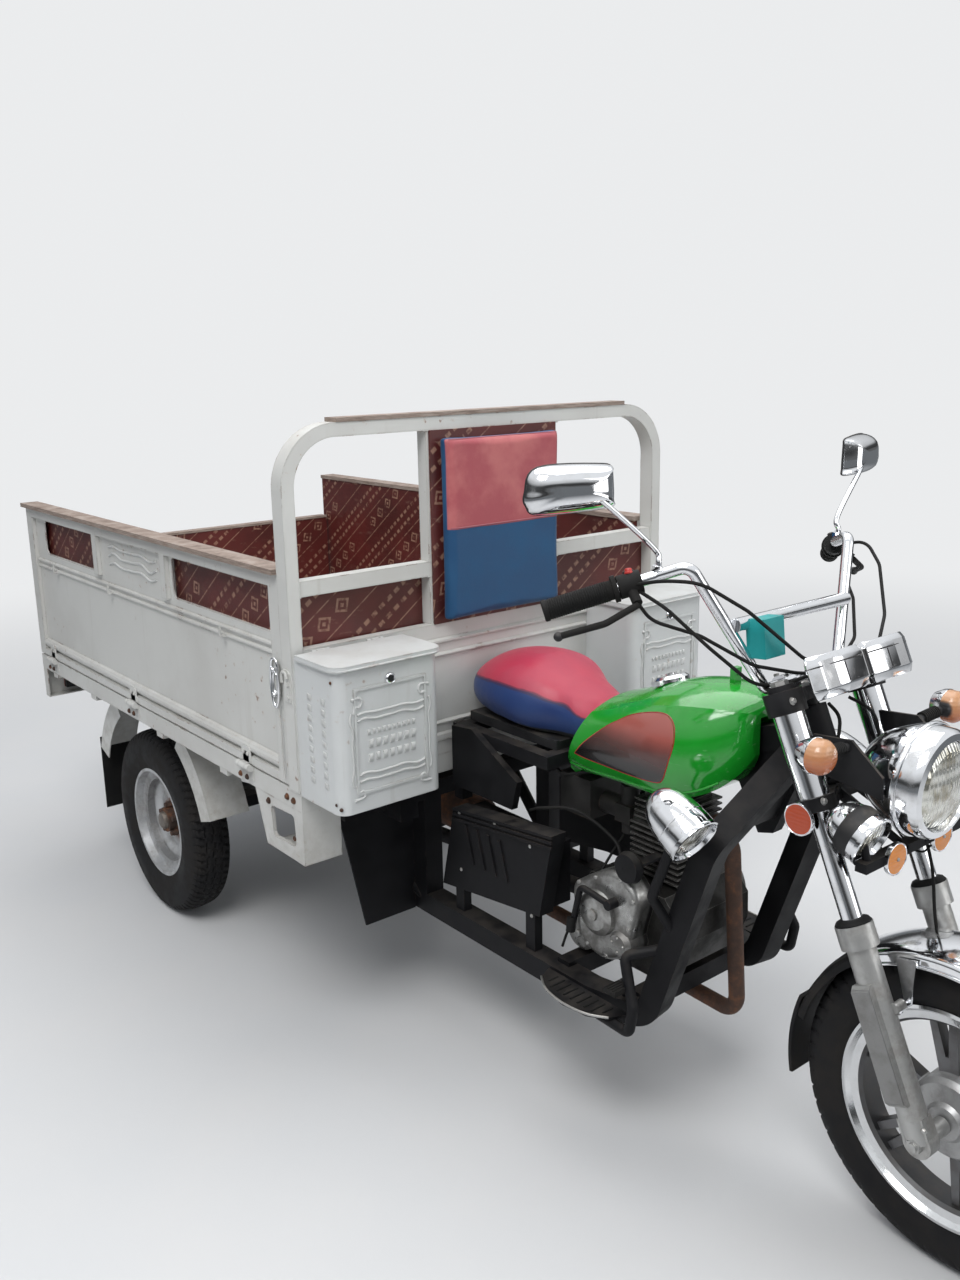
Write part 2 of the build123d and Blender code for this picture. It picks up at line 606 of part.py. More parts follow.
# Hoop with its uprights and middle bars
hoop_mid = HOOP_HALF - HOOP_WIDTH / 2
hoop_x = -HOOP_DEPTH / 2
top_mid = HOOP_TOP - HOOP_WIDTH / 2
hoop = bent_box(
    [
        (hoop_x, -hoop_mid, SILL_TOP),
        (hoop_x, -hoop_mid, top_mid),
        (hoop_x, hoop_mid, top_mid),
        (hoop_x, hoop_mid, SILL_TOP),
    ],
    HOOP_BEND,
    HOOP_DEPTH,
    HOOP_WIDTH,
    (1, 0, 0),
)
bar_x = (-34.0, -2.0)
upright = box(*bar_x, -UPRIGHT_IN - UPRIGHT_WIDTH, -UPRIGHT_IN, HEADBOARD_TOP, HOOP_TOP - HOOP_WIDTH)
mid_bar = box(*bar_x, -leg_in, -UPRIGHT_IN, *MID_BAR)
save("hoop", hoop + both(upright + mid_bar))

# Boards: lining behind the headboard, backing of the pad, strip on the hoop
LINING_TOP = MID_BAR[0]
lining = box(-HOOP_DEPTH, -HOOP_DEPTH + PLY, -leg_in, leg_in, SILL_TOP, LINING_TOP)
backing = box(-2, PAD_X[0], -PAD_HALF - 8, PAD_HALF + 8, HEADBOARD_TOP, 1426)
strip_half = HOOP_HALF - HOOP_BEND - 20
strip = box(-HOOP_DEPTH - 2, 2, -strip_half, strip_half, HOOP_TOP, HOOP_TOP + 9)
save("hoop_boards", lining + backing + strip)
pad = box(PAD_X[0], PAD_X[1], -PAD_HALF, PAD_HALF, *PAD_Z)
pad = fillet(pad.edges().filter_by(Axis.Z).group_by(Axis.X)[-1], 12)
save("backrest_pad", pad)


# Gates
def gate_skin(z_top):
    """Section of the pressed skin, drawn as (outward, up) with outward positive."""
    low = SILL_TOP + SWING_GAP
    outer = [
        (0, low), (0, 697), (8, 701), (12, 708), (12, 715), (8, 722), (0, 726),
        (0, 957), (5, 960), (6, 963), (5, 966), (0, 969),
        (0, 975), (5, 978), (6, 981), (5, 984), (0, 987), (0, z_top),
    ]
    inner = [(y - SHEET, z) for y, z in reversed(outer)]
    return outer + inner


GATE_LOW = SILL_TOP + SWING_GAP
GATE_FRONT = -HOOP_DEPTH - SWING_GAP
GATE_RIB = 12.0
WINDOW_BEND = 24.0
RAIL_TOP = 1004.0
REAR_WINDOW = (-BED_LENGTH + 125, -BED_LENGTH + 525)
FRONT_WINDOW = (-607.0, -96.0)
WINDOW_Z = (1008.0, 1113.0)
skin_y = -BED_HALF + GATE_RIB
inner_y = -BED_HALF + GATE_DEPTH
skin = plate_x([(skin_y - a, z) for a, z in gate_skin(SIDE_TOP)], -BED_LENGTH + 45, GATE_FRONT - 45)
frame_parts = [
    (-BED_LENGTH, GATE_FRONT, GATE_LOW, GATE_LOW + 20),
    (-BED_LENGTH, GATE_FRONT, SIDE_TOP - 30, SIDE_TOP),
    (-BED_LENGTH, -BED_LENGTH + 45, GATE_LOW, SIDE_TOP),
    (GATE_FRONT - 45, GATE_FRONT, GATE_LOW, SIDE_TOP),
    (REAR_WINDOW[1] + 15, REAR_WINDOW[1] + 45, RAIL_TOP - 2, SIDE_TOP),
    (FRONT_WINDOW[0] - 45, FRONT_WINDOW[0] - 15, RAIL_TOP - 2, SIDE_TOP),
]
gate = skin
for x0, x1, z0, z1 in frame_parts:
    gate += box(x0, x1, -BED_HALF, inner_y, z0, z1)
gate += box(-BED_LENGTH, GATE_FRONT, skin_y, inner_y, RAIL_TOP - 20, RAIL_TOP)
for x0, x1 in (REAR_WINDOW, FRONT_WINDOW):
    window = box(x0, x1, -BED_HALF - 5, inner_y + 5, *WINDOW_Z)
    gate -= fillet(window.edges().filter_by(Axis.Y), WINDOW_BEND)
for x in SIDE_HINGES:
    knuckle = Pos(x, -BED_HALF - HINGE_OUT, HINGE_Z) * hinge_moving(HINGE_LONG)
    gate += knuckle
for x in (-BED_LENGTH + 215, -BED_LENGTH / 2 - 182, -330):
    hook = box(x, x + 8, -BED_HALF - 8, skin_y, 960, 966)
    hook += box(x, x + 8, -BED_HALF - 8, -BED_HALF - 4, 960, 984)
    gate += hook
save("gate_right_panel", gate)
save("gate_left_panel", left(gate))
side_lining = box(-BED_LENGTH + 2, GATE_FRONT - 2, inner_y, inner_y + PLY, GATE_LOW, SIDE_TOP)
side_lining += box(
    -BED_LENGTH, GATE_FRONT, inner_y + PLY - CAP_WIDTH, inner_y + PLY + 4, SIDE_TOP, SIDE_TOP + CAP_THICK
)
save("gate_right_boards", side_lining)
save("gate_left_boards", left(side_lining))

TAIL_HALF = BED_HALF - GATE_DEPTH - PLY - 4 - SWING_GAP
tail_skin_x = -BED_LENGTH + GATE_RIB
tail_in = -BED_LENGTH + GATE_DEPTH
tailgate = plate_y([(tail_skin_x - a, z) for a, z in gate_skin(TAIL_TOP)], -TAIL_HALF, TAIL_HALF)
for z0, z1 in ((GATE_LOW, GATE_LOW + 20), (TAIL_TOP - 20, TAIL_TOP)):
    tailgate += box(-BED_LENGTH, tail_in, -TAIL_HALF, TAIL_HALF, z0, z1)
for side in (-1, 1):
    tailgate += box(-BED_LENGTH, tail_in, side * (TAIL_HALF - 40), side * TAIL_HALF, GATE_LOW, TAIL_TOP)
for y in TAIL_HINGES:
    tailgate += Pos(-BED_LENGTH - HINGE_OUT, y, HINGE_Z) * Rot(0, 0, -90) * hinge_moving(HINGE_LONG)
save("tailgate_panel", tailgate)
tail_lining = box(tail_in, tail_in + PLY, -TAIL_HALF, TAIL_HALF, GATE_LOW, TAIL_TOP)
tail_lining += box(-BED_LENGTH, tail_in + PLY + 3, -TAIL_HALF, TAIL_HALF, TAIL_TOP, TAIL_TOP + PLY)
save("tailgate_boards", tail_lining)


# Toolboxes
def box_outline(inset):
    """Plan of a toolbox, its two front corners rounded."""
    x1 = BOX_FRONT - inset
    y0 = -BED_HALF + inset
    y1 = -BOX_INNER - inset
    r = BOX_CORNER - inset
    edges = [
        Line((inset, y0), (x1 - r, y0)),
        RadiusArc((x1 - r, y0), (x1, y0 + r), -r),
        Line((x1, y0 + r), (x1, y1 - r)),
        RadiusArc((x1, y1 - r), (x1 - r, y1), -r),
        Line((x1 - r, y1), (inset, y1)),
        Line((inset, y1), (inset, y0)),
    ]
    return make_face(edges)


toolbox = extrude(Plane.XY.offset(BOX_BOTTOM) * box_outline(0), amount=BOX_TOP - BOX_BOTTOM)
toolbox -= extrude(Plane.XY.offset(BOX_BOTTOM + SHEET) * box_outline(SHEET), amount=BOX_TOP - BOX_BOTTOM)
for z0, z1 in ((700, 706), (925, 931)):
    toolbox += box(BOX_FRONT, BOX_FRONT + 3, -BED_HALF + 40, -BOX_INNER - 40, z0, z1)
for y0, y1 in ((-BED_HALF + 40, -BED_HALF + 46), (-BOX_INNER - 46, -BOX_INNER - 40)):
    toolbox += box(BOX_FRONT, BOX_FRONT + 3, y0, y1, 700, 931)
LID_Z = BOX_TOP + SWING_GAP + 3
box_mid = -(BED_HALF + BOX_INNER) / 2
for y in (box_mid - 70, box_mid + 70):
    toolbox += rod((LID_AXIS_X, y - 22, LID_Z), (LID_AXIS_X, y + 22, LID_Z), 2.5)
    for y0, y1 in ((y - 22, y - 12), (y + 12, y + 22)):
        toolbox += rod((LID_AXIS_X, y0, LID_Z), (LID_AXIS_X, y1, LID_Z), 5)
        toolbox += box(0, LID_AXIS_X, y0, y1, LID_Z - 5, LID_Z - 1)
        toolbox += box(0, SHEET, y0, y1, BOX_TOP - 10, LID_Z - 1)
save("toolbox_right", toolbox)
save("toolbox_left", left(toolbox))
lid_low = BOX_TOP + SWING_GAP + 4
lid_across = (-BED_HALF - 8, -BOX_INNER + 8)
lid_block = box(LID_AXIS_X + 8, BOX_FRONT + 8, *lid_across, lid_low - LID_RIM, lid_low + SHEET)
lid = fillet(lid_block.edges().filter_by(Axis.Z).group_by(Axis.X)[-1], BOX_CORNER + 6)
rim_in = box(-10, BOX_FRONT + 5, -BED_HALF - 5, -BOX_INNER + 5, lid_low - LID_RIM, lid_low)
rim_in = fillet(rim_in.edges().filter_by(Axis.Z).group_by(Axis.X)[-1], BOX_CORNER + 4)
lid = lid - rim_in
for y in (box_mid - 70, box_mid + 70):
    lid += rod((LID_AXIS_X, y - 11, LID_Z), (LID_AXIS_X, y + 11, LID_Z), 5)
    lid += box(LID_AXIS_X, LID_AXIS_X + 12, y - 11, y + 11, LID_Z + 1, LID_Z + 4)
    lid -= rod((LID_AXIS_X, y - 12, LID_Z), (LID_AXIS_X, y + 12, LID_Z), 2.5 + PIN_GAP)
save("toolbox_lid_right", lid)
save("toolbox_lid_left", left(lid))

# Mudguards: a front and a rear arc on each side, with flanges and flaps
GUARD_R = 400.0
GUARD_IN = 338.0


def arc_piece(r_in, r_out, y0, y1, a0, a1, steps=6):
    """Part of a ring about the rear axle between two angles."""
    angles = [a0 + (a1 - a0) * k / steps for k in range(steps + 1)]
    outer = [(AXLE_X + r_out * cos(radians(a)), REAR_R + r_out * sin(radians(a))) for a in angles]
    inner = [(AXLE_X + r_in * cos(radians(a)), REAR_R + r_in * sin(radians(a))) for a in reversed(angles)]
    return plate_y(outer + inner, y0, y1)


mudguard = arc_piece(GUARD_R - SHEET, GUARD_R, -503, -388, 18, 56)
mudguard += arc_piece(GUARD_IN, GUARD_R, -503, -500, 18, 56)
mudguard += arc_piece(GUARD_R - SHEET, GUARD_R, -503, -388, 124, 160)
mudguard += arc_piece(GUARD_IN, GUARD_R, -503, -500, 124, 160)
mudguard += box(AXLE_X + 195, AXLE_X + 240, -503, -388, 600, RAIL_BED_Z[1])
mudguard += box(AXLE_X - 240, AXLE_X - 195, -503, -388, 600, RAIL_BED_Z[1])
save("mudguards", both(mudguard))
flap = box(-1356, -1352, -503, -388, 205, 440)
save("mud_flaps", both(flap - mudguard))

# Rear wheels
rim_profile = [
    (REAR_LIP_R, -50), (REAR_LIP_R, -46), (REAR_RIM_R + 4, -44), (REAR_RIM_R, -26), (128, -22),
    (128, 22), (REAR_RIM_R, 26), (REAR_RIM_R + 4, 44), (REAR_LIP_R, 46), (REAR_LIP_R, 50),
    (REAR_RIM_R, 50), (REAR_RIM_R - 4, 28), (124, 25), (124, 6), (112, 6), (92, -8), (60, -8), (60, 0),
    (30, 0), (30, -4), (60, -4), (60, -12), (94, -12), (114, 2), (124, 2), (124, -25), (REAR_RIM_R - 4, -28),
    (REAR_RIM_R, -50),
]
tyre_profile = [
    (REAR_RIM_R + 4, -44), (REAR_LIP_R, -46), (REAR_LIP_R + 12, -55), (220, -59), (250, -55), (265, -46),
    (REAR_R, -32), (REAR_R, 32), (265, 46), (250, 55), (220, 59), (REAR_LIP_R + 12, 55), (REAR_LIP_R, 46),
    (REAR_RIM_R + 4, 44), (REAR_RIM_R, 26), (REAR_RIM_R, -26),
]

def rear_wheel(profile, y):
    return spin(profile, (AXLE_X, y, REAR_R), (0, -1, 0))


rear_rim = rear_wheel(rim_profile, -REAR_Y)
rear_tyre = rear_wheel(tyre_profile, -REAR_Y)
save("rear_tyre_right", rear_tyre)
save("rear_tyre_left", left(rear_tyre))
save("rear_rim_right", rear_rim)
save("rear_rim_left", left(rear_rim))
STUB_R = 17.0
hub = rear_wheel(
    [
        (STUB_R + PIN_GAP, -72), (90, -72), (90, -20), (50, -14), (50, -4), (30, -4),
        (30, 0), (36, 0), (36, 26), (STUB_R + PIN_GAP, 26),
    ],
    -REAR_Y,
)
for step in range(5):
    a = radians(72 * step + 20)
    x = AXLE_X + 44 * cos(a)
    z = REAR_R + 44 * sin(a)
    hub += rod((x, -REAR_Y, z), (x, -REAR_Y - 22, z), 8)
save("rear_hub_right", hub)
save("rear_hub_left", left(hub))

# Front wheel


def front_wheel(profile):
    return spin(profile, AXLE, (0, -1, 0))


front_tyre = front_wheel([
    (FRONT_RIM_R, -30), (FRONT_RIM_R + 2, -34), (FRONT_LIP_R, -36), (FRONT_R - 72, -44), (FRONT_R - 48, -47),
    (FRONT_R - 26, -42), (FRONT_R - 10, -29), (FRONT_R - 2, -13),
    (FRONT_R, 0), (FRONT_R - 2, 13), (FRONT_R - 10, 29),
    (FRONT_R - 26, 42), (FRONT_R - 48, 47), (FRONT_R - 72, 44), (FRONT_LIP_R, 36), (FRONT_RIM_R + 2, 34),
    (FRONT_RIM_R, 30),
])
save("front_tyre", front_tyre)
BARREL_R = 172.0
front_rim = front_wheel([
    (FRONT_LIP_R, -42), (FRONT_LIP_R, -36), (FRONT_RIM_R + 2, -34), (FRONT_RIM_R, -30), (BARREL_R + 10, -20),
    (BARREL_R + 10, 20), (FRONT_RIM_R, 30), (FRONT_RIM_R + 2, 34), (FRONT_LIP_R, 36), (FRONT_LIP_R, 42),
    (FRONT_LIP_R - 6, 43), (FRONT_RIM_R - 4, 34), (BARREL_R + 6, 31), (BARREL_R, 24), (BARREL_R, -24),
    (BARREL_R + 6, -31), (FRONT_RIM_R - 4, -34), (FRONT_LIP_R - 6, -43),
])
AXLE_R = 8.0
front_rim += front_wheel([
    (AXLE_R + PIN_GAP, -50), (30, -50), (36, -42), (66, -38), (74, -28),
        (74, 28), (66, 38), (36, 42), (30, 50),
    (AXLE_R + PIN_GAP, 50),
])
spoke_plan = [
    (62, -17), (BARREL_R + 2, -26), (BARREL_R + 2, -12), (104, -3), (104, 3), (BARREL_R + 2, 12),
    (BARREL_R + 2, 26), (62, 17),
]
for step in range(6):
    spoke = extrude(make_face(Polyline(*spoke_plan, close=True)), amount=13, both=True)
    front_rim += Plane(origin=AXLE, z_dir=(0, -1, 0)) * Rot(0, 0, 60 * step + 12) * spoke
save("front_rim", front_rim)

# Fork
SLIDER_TOP = -307.0
SLIDER_LOW = -700.0
TUBE_R = 18.5
SHROUD_R = 28.0


def leg(z0, z1, radius):
    """Round piece on the right fork leg, between two heights."""
    length = z1 - z0
    piece = Cylinder(radius, length, align=(Align.CENTER, Align.CENTER, Align.MIN))
    return HEAD * Pos(FORK_LEAD, -FORK_Y, z0) * piece


tubes = leg(SLIDER_TOP, LOWER_YOKE[0], TUBE_R) + leg(LOWER_YOKE[1], UPPER_CLAMP[0], SHROUD_R)
save("fork_tubes", both(tubes))
COLLAR_LOW = SLIDER_TOP - 40
RIB_Z = (-612.0, -406.0)
slider = leg(AXLE_DROP, COLLAR_LOW, 25) + leg(COLLAR_LOW, SLIDER_TOP, 33)
slider -= leg(SLIDER_TOP - 30, SLIDER_TOP + 1, TUBE_R)
slider += leg(SLIDER_TOP - 30, SLIDER_TOP - 29, TUBE_R)
rib = box(FORK_LEAD - 20, FORK_LEAD + 16, -FORK_Y - 36, -FORK_Y, *RIB_Z)
rib = chamfer(rib.edges().filter_by(Axis.X).group_by(Axis.Y)[0], 9)
slider += HEAD * rib
foot = box(FORK_LEAD - 25, FORK_LEAD + 25, -FORK_Y - 14, -FORK_Y + 16, AXLE_DROP - 2, AXLE_DROP + 42)
slider += HEAD * foot
slider += rod((AXLE[0], -FORK_Y - 14, AXLE[2]), (AXLE[0], -FORK_Y + 16, AXLE[2]), 26)
slider += HEAD * Pos(FORK_LEAD + 26, -FORK_Y + 14, -456) * Rot(90, 0, 0) * Cylinder(9, 26)
axle_rod = rod((AXLE[0], -FORK_Y - 30, AXLE[2]), (AXLE[0], FORK_Y + 30, AXLE[2]), AXLE_R)
slider_pair = both(slider) + axle_rod
for side in (-1, 1):
    spacer = rod((AXLE[0], side * 54, AXLE[2]), (AXLE[0], side * (FORK_Y - 16), AXLE[2]), 16)
    nut_plane = Plane(origin=(AXLE[0], side * (FORK_Y + 20), AXLE[2]), z_dir=(0, 1, 0))
    nut = nut_plane * extrude(RegularPolygon(13, 6), amount=6, both=True)
    slider_pair += spacer + nut
save("fork_sliders", slider_pair)

CLAMP_R = 35.0
YOKE_BACK = 24.0
yoke_plan = [
    (-YOKE_BACK, -18), (-YOKE_BACK, 18), (FORK_LEAD - 20, FORK_Y - CLAMP_R + 6), (FORK_LEAD - 20, FORK_Y),
    (FORK_LEAD + 20, FORK_Y), (FORK_LEAD + 20, FORK_Y - CLAMP_R + 6), (30, 40), (30, -40),
    (FORK_LEAD + 20, -FORK_Y + CLAMP_R - 6), (FORK_LEAD + 20, -FORK_Y),
    (FORK_LEAD - 20, -FORK_Y), (FORK_LEAD - 20, -FORK_Y + CLAMP_R - 6),
]
yokes = HEAD * plate_z(yoke_plan, *UPPER_YOKE) + HEAD * plate_z(yoke_plan, *LOWER_YOKE)
yokes += both(leg(*UPPER_CLAMP, CLAMP_R) + leg(*LOWER_YOKE, CLAMP_R))
yokes += HEAD * Pos(0, 0, LOWER_YOKE[0]) * Cylinder(
    STEM_R, UPPER_YOKE[1] - LOWER_YOKE[0], align=(Align.CENTER, Align.CENTER, Align.MIN)
)
yokes += both(leg(UPPER_CLAMP[1], UPPER_CLAMP[1] + 10, 24))
ear = plate_y([(975, 945), (1050, 952), (1112, 902), (1112, 864), (985, 880)], -104, -98)
ear -= leg(LOWER_YOKE[1], UPPER_CLAMP[0], SHROUD_R)
yokes += both(ear)
save("fork_yokes", yokes)

# Handlebar with its cross tube and risers
BAR_R = 11.0
BAR_PLACE = (-3.0, 114.0)
CLAMP_Y = (36.0, 64.0)
bar_foot = on_fork(BAR_PLACE[0], 0, BAR_PLACE[1])
bar_half = [
    bar_foot, (bar_foot[0], -107, bar_foot[2]), (800, -232, 1232), (752, -262, 1212), (636, -412, 1156),
]
bar = bent_bar(bar_half, 22, BAR_R)
bar_pair = both(bar)
bar_pair += box(841, 851, -166, 166, 1113, 1135)
bar_clamp = box(BAR_PLACE[0] - 18, BAR_PLACE[0] + 18, *CLAMP_Y, UPPER_YOKE[1], BAR_PLACE[1] + 17)
bar_clamp = fillet(bar_clamp.edges().filter_by(Axis.Y).group_by(Axis.Z)[-1], 14)
bar_pair += both(HEAD * bar_clamp)
save("handlebar", bar_pair)

# Grips, switch housings and levers
grip_axis = (752 - 636, -262 + 412, 1212 - 1156)


def along_grip(share):
    """Point on the right grip's centre line, share 0 at the outer end."""
    return (636 + share * grip_axis[0], -412 + share * grip_axis[1], 1156 + share * grip_axis[2])


def beside_grip(share, offset):
    """Point set off from the right grip's centre line."""
    return tuple(a + b for a, b in zip(along_grip(share), offset))


grip = rod(along_grip(-0.03), along_grip(0.62), 17.5)
grip += rod(along_grip(0.60), along_grip(0.64), 24)
switch = rod(along_grip(0.65), along_grip(0.86), 21)
perch = rod(along_grip(0.75), beside_grip(0.75, (34, -14, -26)), 9)
pivot = tuple(a + b for a, b in zip(along_grip(0.75), (36, -15, -28)))
lever = bent_bar(
    [pivot, beside_grip(0.45, (52, -30, -38)), beside_grip(0.02, (48, -22, -36))],
    30,
    6,
)
save("grips_and_levers", both(grip + switch + perch + lever) - bar_pair)

# Mirrors
MIRROR_MID = (690, -408, 1371)
MIRROR_DEEP = 34.0
mirror_turn = radians(17)
mirror_plane = Plane(
    origin=MIRROR_MID,
    x_dir=(-sin(mirror_turn), -cos(mirror_turn), 0),
    z_dir=(cos(mirror_turn), -sin(mirror_turn), 0),
)
rim_plan = [(-84, 28), (-86, -22), (-76, -38), (60, -42), (88, -26), (90, -4), (64, 38), (-70, 38)]
back_plan = [(0.62 * a, 0.50 * b) for a, b in rim_plan]
rim_face = make_face(Polyline(*rim_plan, close=True))
back_face = Pos(0, 0, MIRROR_DEEP) * make_face(Polyline(*back_plan, close=True))
mirror_head = mirror_plane * (extrude(rim_face, amount=-6) + loft([rim_face, back_face]))
mirror_stem = bent_bar(
    [(752, -262, 1212), (756, -262, 1236), (748, -268, 1262), (728, -372, 1350), (712, -400, 1368)],
    12,
    5,
)
save("mirrors", both(mirror_stem - bar_pair + mirror_head))

# Instrument cluster
POD_Z = (88.0, 137.0)
pod_plan = make_face(Polyline((104, 6), (104, 122), (128, 148), (142, 118), (142, 6), close=True))
pod = extrude(Pos(0, 0, POD_Z[0]) * pod_plan, amount=POD_Z[1] - POD_Z[0])
pod += extrude(Pos(0, 0, POD_Z[1]) * pod_plan, amount=10, taper=28)
pod += mirror(extrude(Pos(0, 0, -POD_Z[0]) * pod_plan, amount=14, taper=28), about=Plane.XY)
cluster = HEAD * pod + HEAD * mirror(pod, about=Plane.XZ)
cluster += HEAD * box(90, 112, -8, 8, 92, 122)
cluster += HEAD * box(20, 112, -34, 34, 116, 122)
save("instrument_cluster", cluster)

# Head lamp and spot lamps
LAMP_CENTRE = (1018, 0, 884)
LAMP_AXIS = (1, 0, -0.04)
shell = spin(
    [
        (0, 0), (30, 4), (66, 34), (90, 80), (97, 104),
        (100, 106), (100, 112), (97, 114), (97, 138), (92, 150),
        (80, 153), (76, 140), (0, 136),
    ],
    LAMP_CENTRE,
    LAMP_AXIS,
)
shell += rod((1100, -98, 882), (1100, 98, 882), 9)
save("headlamp", shell)
spot = spin(bullet(46, SPOT_LONG), SPOT_TAIL, SPOT_AXIS)
BAR_X = (1100.0, 1122.0)
BAR_Z = (748.0, 766.0)
spot_bar = box(*BAR_X, -150, 150, *BAR_Z)
strap = plate_y([(976, 836), (BAR_X[1], BAR_Z[1]), (BAR_X[1], BAR_Z[0] + 5), (976, 812)], 25, 31) - yokes
save("spot_lamps", both(spot + strap) + spot_bar)
lens = spin(bullet_lens(46, SPOT_LONG), SPOT_TAIL, SPOT_AXIS)
head_lens = spin([(0, 137), (75, 141), (60, 150), (0, 158)], LAMP_CENTRE, LAMP_AXIS)
save("front_lenses", both(lens) + head_lens)
save("guard_lenses", both(spin(bullet_lens(51, 117), GUARD_TAIL, GUARD_AXIS)))

# Signal lamps and reflectors
signal = spin([(0, -30), (20, -28), (30, -8), (30, 10), (20, 24), (0, 28)], (1053, -202, 949), (1, 0, 0))
stalk = rod((1050, -190, 948), (1042, -100, 938), 8) - ear
side_reflector = spin([(0, 0), (28, 0), (28, 8), (0, 10)], on_fork(27, -FORK_Y - CLAMP_R, -112), (0, -1, 0))
front_reflector = spin([(0, 0), (28, 0), (28, 8), (0, 10)], (BAR_X[1], -72, 756), (1, 0, 0))
save("signal_lamps", both(signal + stalk + side_reflector + front_reflector))

# Front fender: a rounded crown over the tyre with rolled edges, stays and a dark tail
AXLE_LINE = Axis(origin=AXLE, direction=(0, -1, 0))


def crown(half, edge_r, side_r, r_out, thick):
    """Section across the fender, as (across, radius) points."""
    outer = [
        (-half, edge_r), (-half, side_r), (-half + 8, r_out - 7), (-0.5 * half, r_out - 2), (0, r_out),
        (0.5 * half, r_out - 2), (half - 8, r_out - 7), (half, side_r), (half, edge_r),
    ]
    inner = [
        (half - thick, edge_r), (half - thick, side_r - 2), (half - 10, r_out - 7 - thick),
        (0.5 * half, r_out - 2 - thick), (0, r_out - thick), (-0.5 * half, r_out - 2 - thick),
        (-half + 10, r_out - 7 - thick), (-half + thick, side_r - 2), (-half + thick, edge_r),
    ]
    return outer + inner


def about_axle(section, start, stop):
    """Section turned about the front axle between two angles from forward."""
    face = Plane.YZ * make_face(Polyline(*section, close=True))
    turned = revolve(face, axis=Axis.Y, revolution_arc=stop - start)
    return Pos(*AXLE) * Rot(0, 90 - stop, 0) * turned


EDGE_R = FENDER_R - 32
fender = about_axle(crown(FENDER_HALF, EDGE_R, EDGE_R + 17, FENDER_R, FENDER_THICK), *FENDER_ENDS)
for side in (-1, 1):
    rim_y = side * FENDER_HALF
    roll_y = side * (FENDER_HALF + 4)
    roll = [(rim_y, EDGE_R - 3), (roll_y, EDGE_R - 1), (roll_y, EDGE_R + 4), (rim_y, EDGE_R + 6)]
    fender += about_axle(roll, *FENDER_ENDS)
stay_y = -FENDER_HALF - 4
stay = plate_y([(-96, 283), (-58, 291), (-62, 206), (-74, 206)], stay_y - 4, stay_y + 1)
stay += rod((-68, stay_y - 30, 209), (-68, stay_y, 209), 6)
fender_stay = Pos(AXLE[0], 0, AXLE[2]) * stay - slider
save("front_fender", fender + both(fender_stay))
tail_section = crown(FENDER_HALF - 6, EDGE_R + 6, EDGE_R + 18, FENDER_R - 1, 3)
flap_section = [(-48, FENDER_R - 3), (48, FENDER_R - 3), (48, FENDER_R + 4), (-48, FENDER_R + 4)]
tail_piece = about_axle(tail_section, FENDER_ENDS[1], TAIL_END)
tail_piece += about_axle(flap_section, TAIL_END - 6, FLAP_END)
save("fender_flap", tail_piece - fender)

# Fuse box hung on the cross bar
fuse_box = Pos(871, -110, 1100) * Rot(0, -6, 0) * Box(40, 55, 70)
save("fuse_box", fuse_box - bar_pair)

# Cables from the grips to the instruments, held at both ends
CABLE_R = 3.2


def cable(points):
    """Round cable through the points, its corners as wide as the shortest run allows."""
    runs = [Vector(*b) - Vector(*a) for a, b in zip(points, points[1:])]
    room = []
    for before, after in zip(runs, runs[1:]):
        half_turn = radians(before.get_angle(after) / 2)
        room.append(0.45 * min(before.length, after.length) / tan(half_turn))
    return bent_bar(points, min(room), CABLE_R)


throttle_low = [
    (740, -296, 1190), (792, -282, 1165), (850, -236, 1098),
    (884, -150, 1020), (903, -88, 1016), on_fork(56, -24, 119),
]
throttle_top = [
    (742, -302, 1201), (800, -300, 1216), (850, -262, 1214),
    (890, -185, 1160), (925, -72, 1064), on_fork(76, -22, 119),
]
brake = [
    (757, -313, 1172), (762, -285, 1138), (822, -226, 1112),
    (880, -150, 1056), (908, -70, 1034), on_fork(32, -18, 119),
]
clutch = [(x, -y, z) for x, y, z in brake]
wiring = [
    (742, 302, 1201), (800, 294, 1214), (852, 262, 1178),
    (915, 190, 1100), (955, 110, 1062), on_fork(108, 92, 104),
]
cables = cable(throttle_low)
for route in (throttle_top, brake, clutch, wiring):
    cables += cable(route)
save("control_cables", cables - yokes)
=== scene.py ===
import math

import bmesh
import bpy
from mathutils import Matrix, Quaternion, Vector
from mathutils.bvhtree import BVHTree


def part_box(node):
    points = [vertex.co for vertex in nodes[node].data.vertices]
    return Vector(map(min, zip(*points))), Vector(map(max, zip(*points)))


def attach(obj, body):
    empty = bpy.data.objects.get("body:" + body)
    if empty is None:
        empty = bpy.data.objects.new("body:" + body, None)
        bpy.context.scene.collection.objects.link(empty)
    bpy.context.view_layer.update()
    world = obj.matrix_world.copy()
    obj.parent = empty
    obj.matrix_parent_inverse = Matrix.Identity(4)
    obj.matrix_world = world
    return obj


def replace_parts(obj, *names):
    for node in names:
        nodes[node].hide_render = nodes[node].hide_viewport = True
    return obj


# Cargo motor tricycle: looks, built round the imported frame. Metres, +X forward,
# +Y to the left, +Z up. Places are given from the bed's front face, as in the CAD.

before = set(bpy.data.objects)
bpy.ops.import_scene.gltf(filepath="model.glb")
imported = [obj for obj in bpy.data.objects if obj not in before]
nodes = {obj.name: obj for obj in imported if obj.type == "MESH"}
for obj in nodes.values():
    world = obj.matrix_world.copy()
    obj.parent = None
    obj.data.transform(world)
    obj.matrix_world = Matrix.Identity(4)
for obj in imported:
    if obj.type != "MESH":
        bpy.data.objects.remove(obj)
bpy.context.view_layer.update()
FRONT_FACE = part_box("hoop")[1].x


def at(x, y, z):
    """Point of the vehicle from millimetres measured from the bed's front face."""
    return Vector((FRONT_FACE + x / 1000, y / 1000, z / 1000))


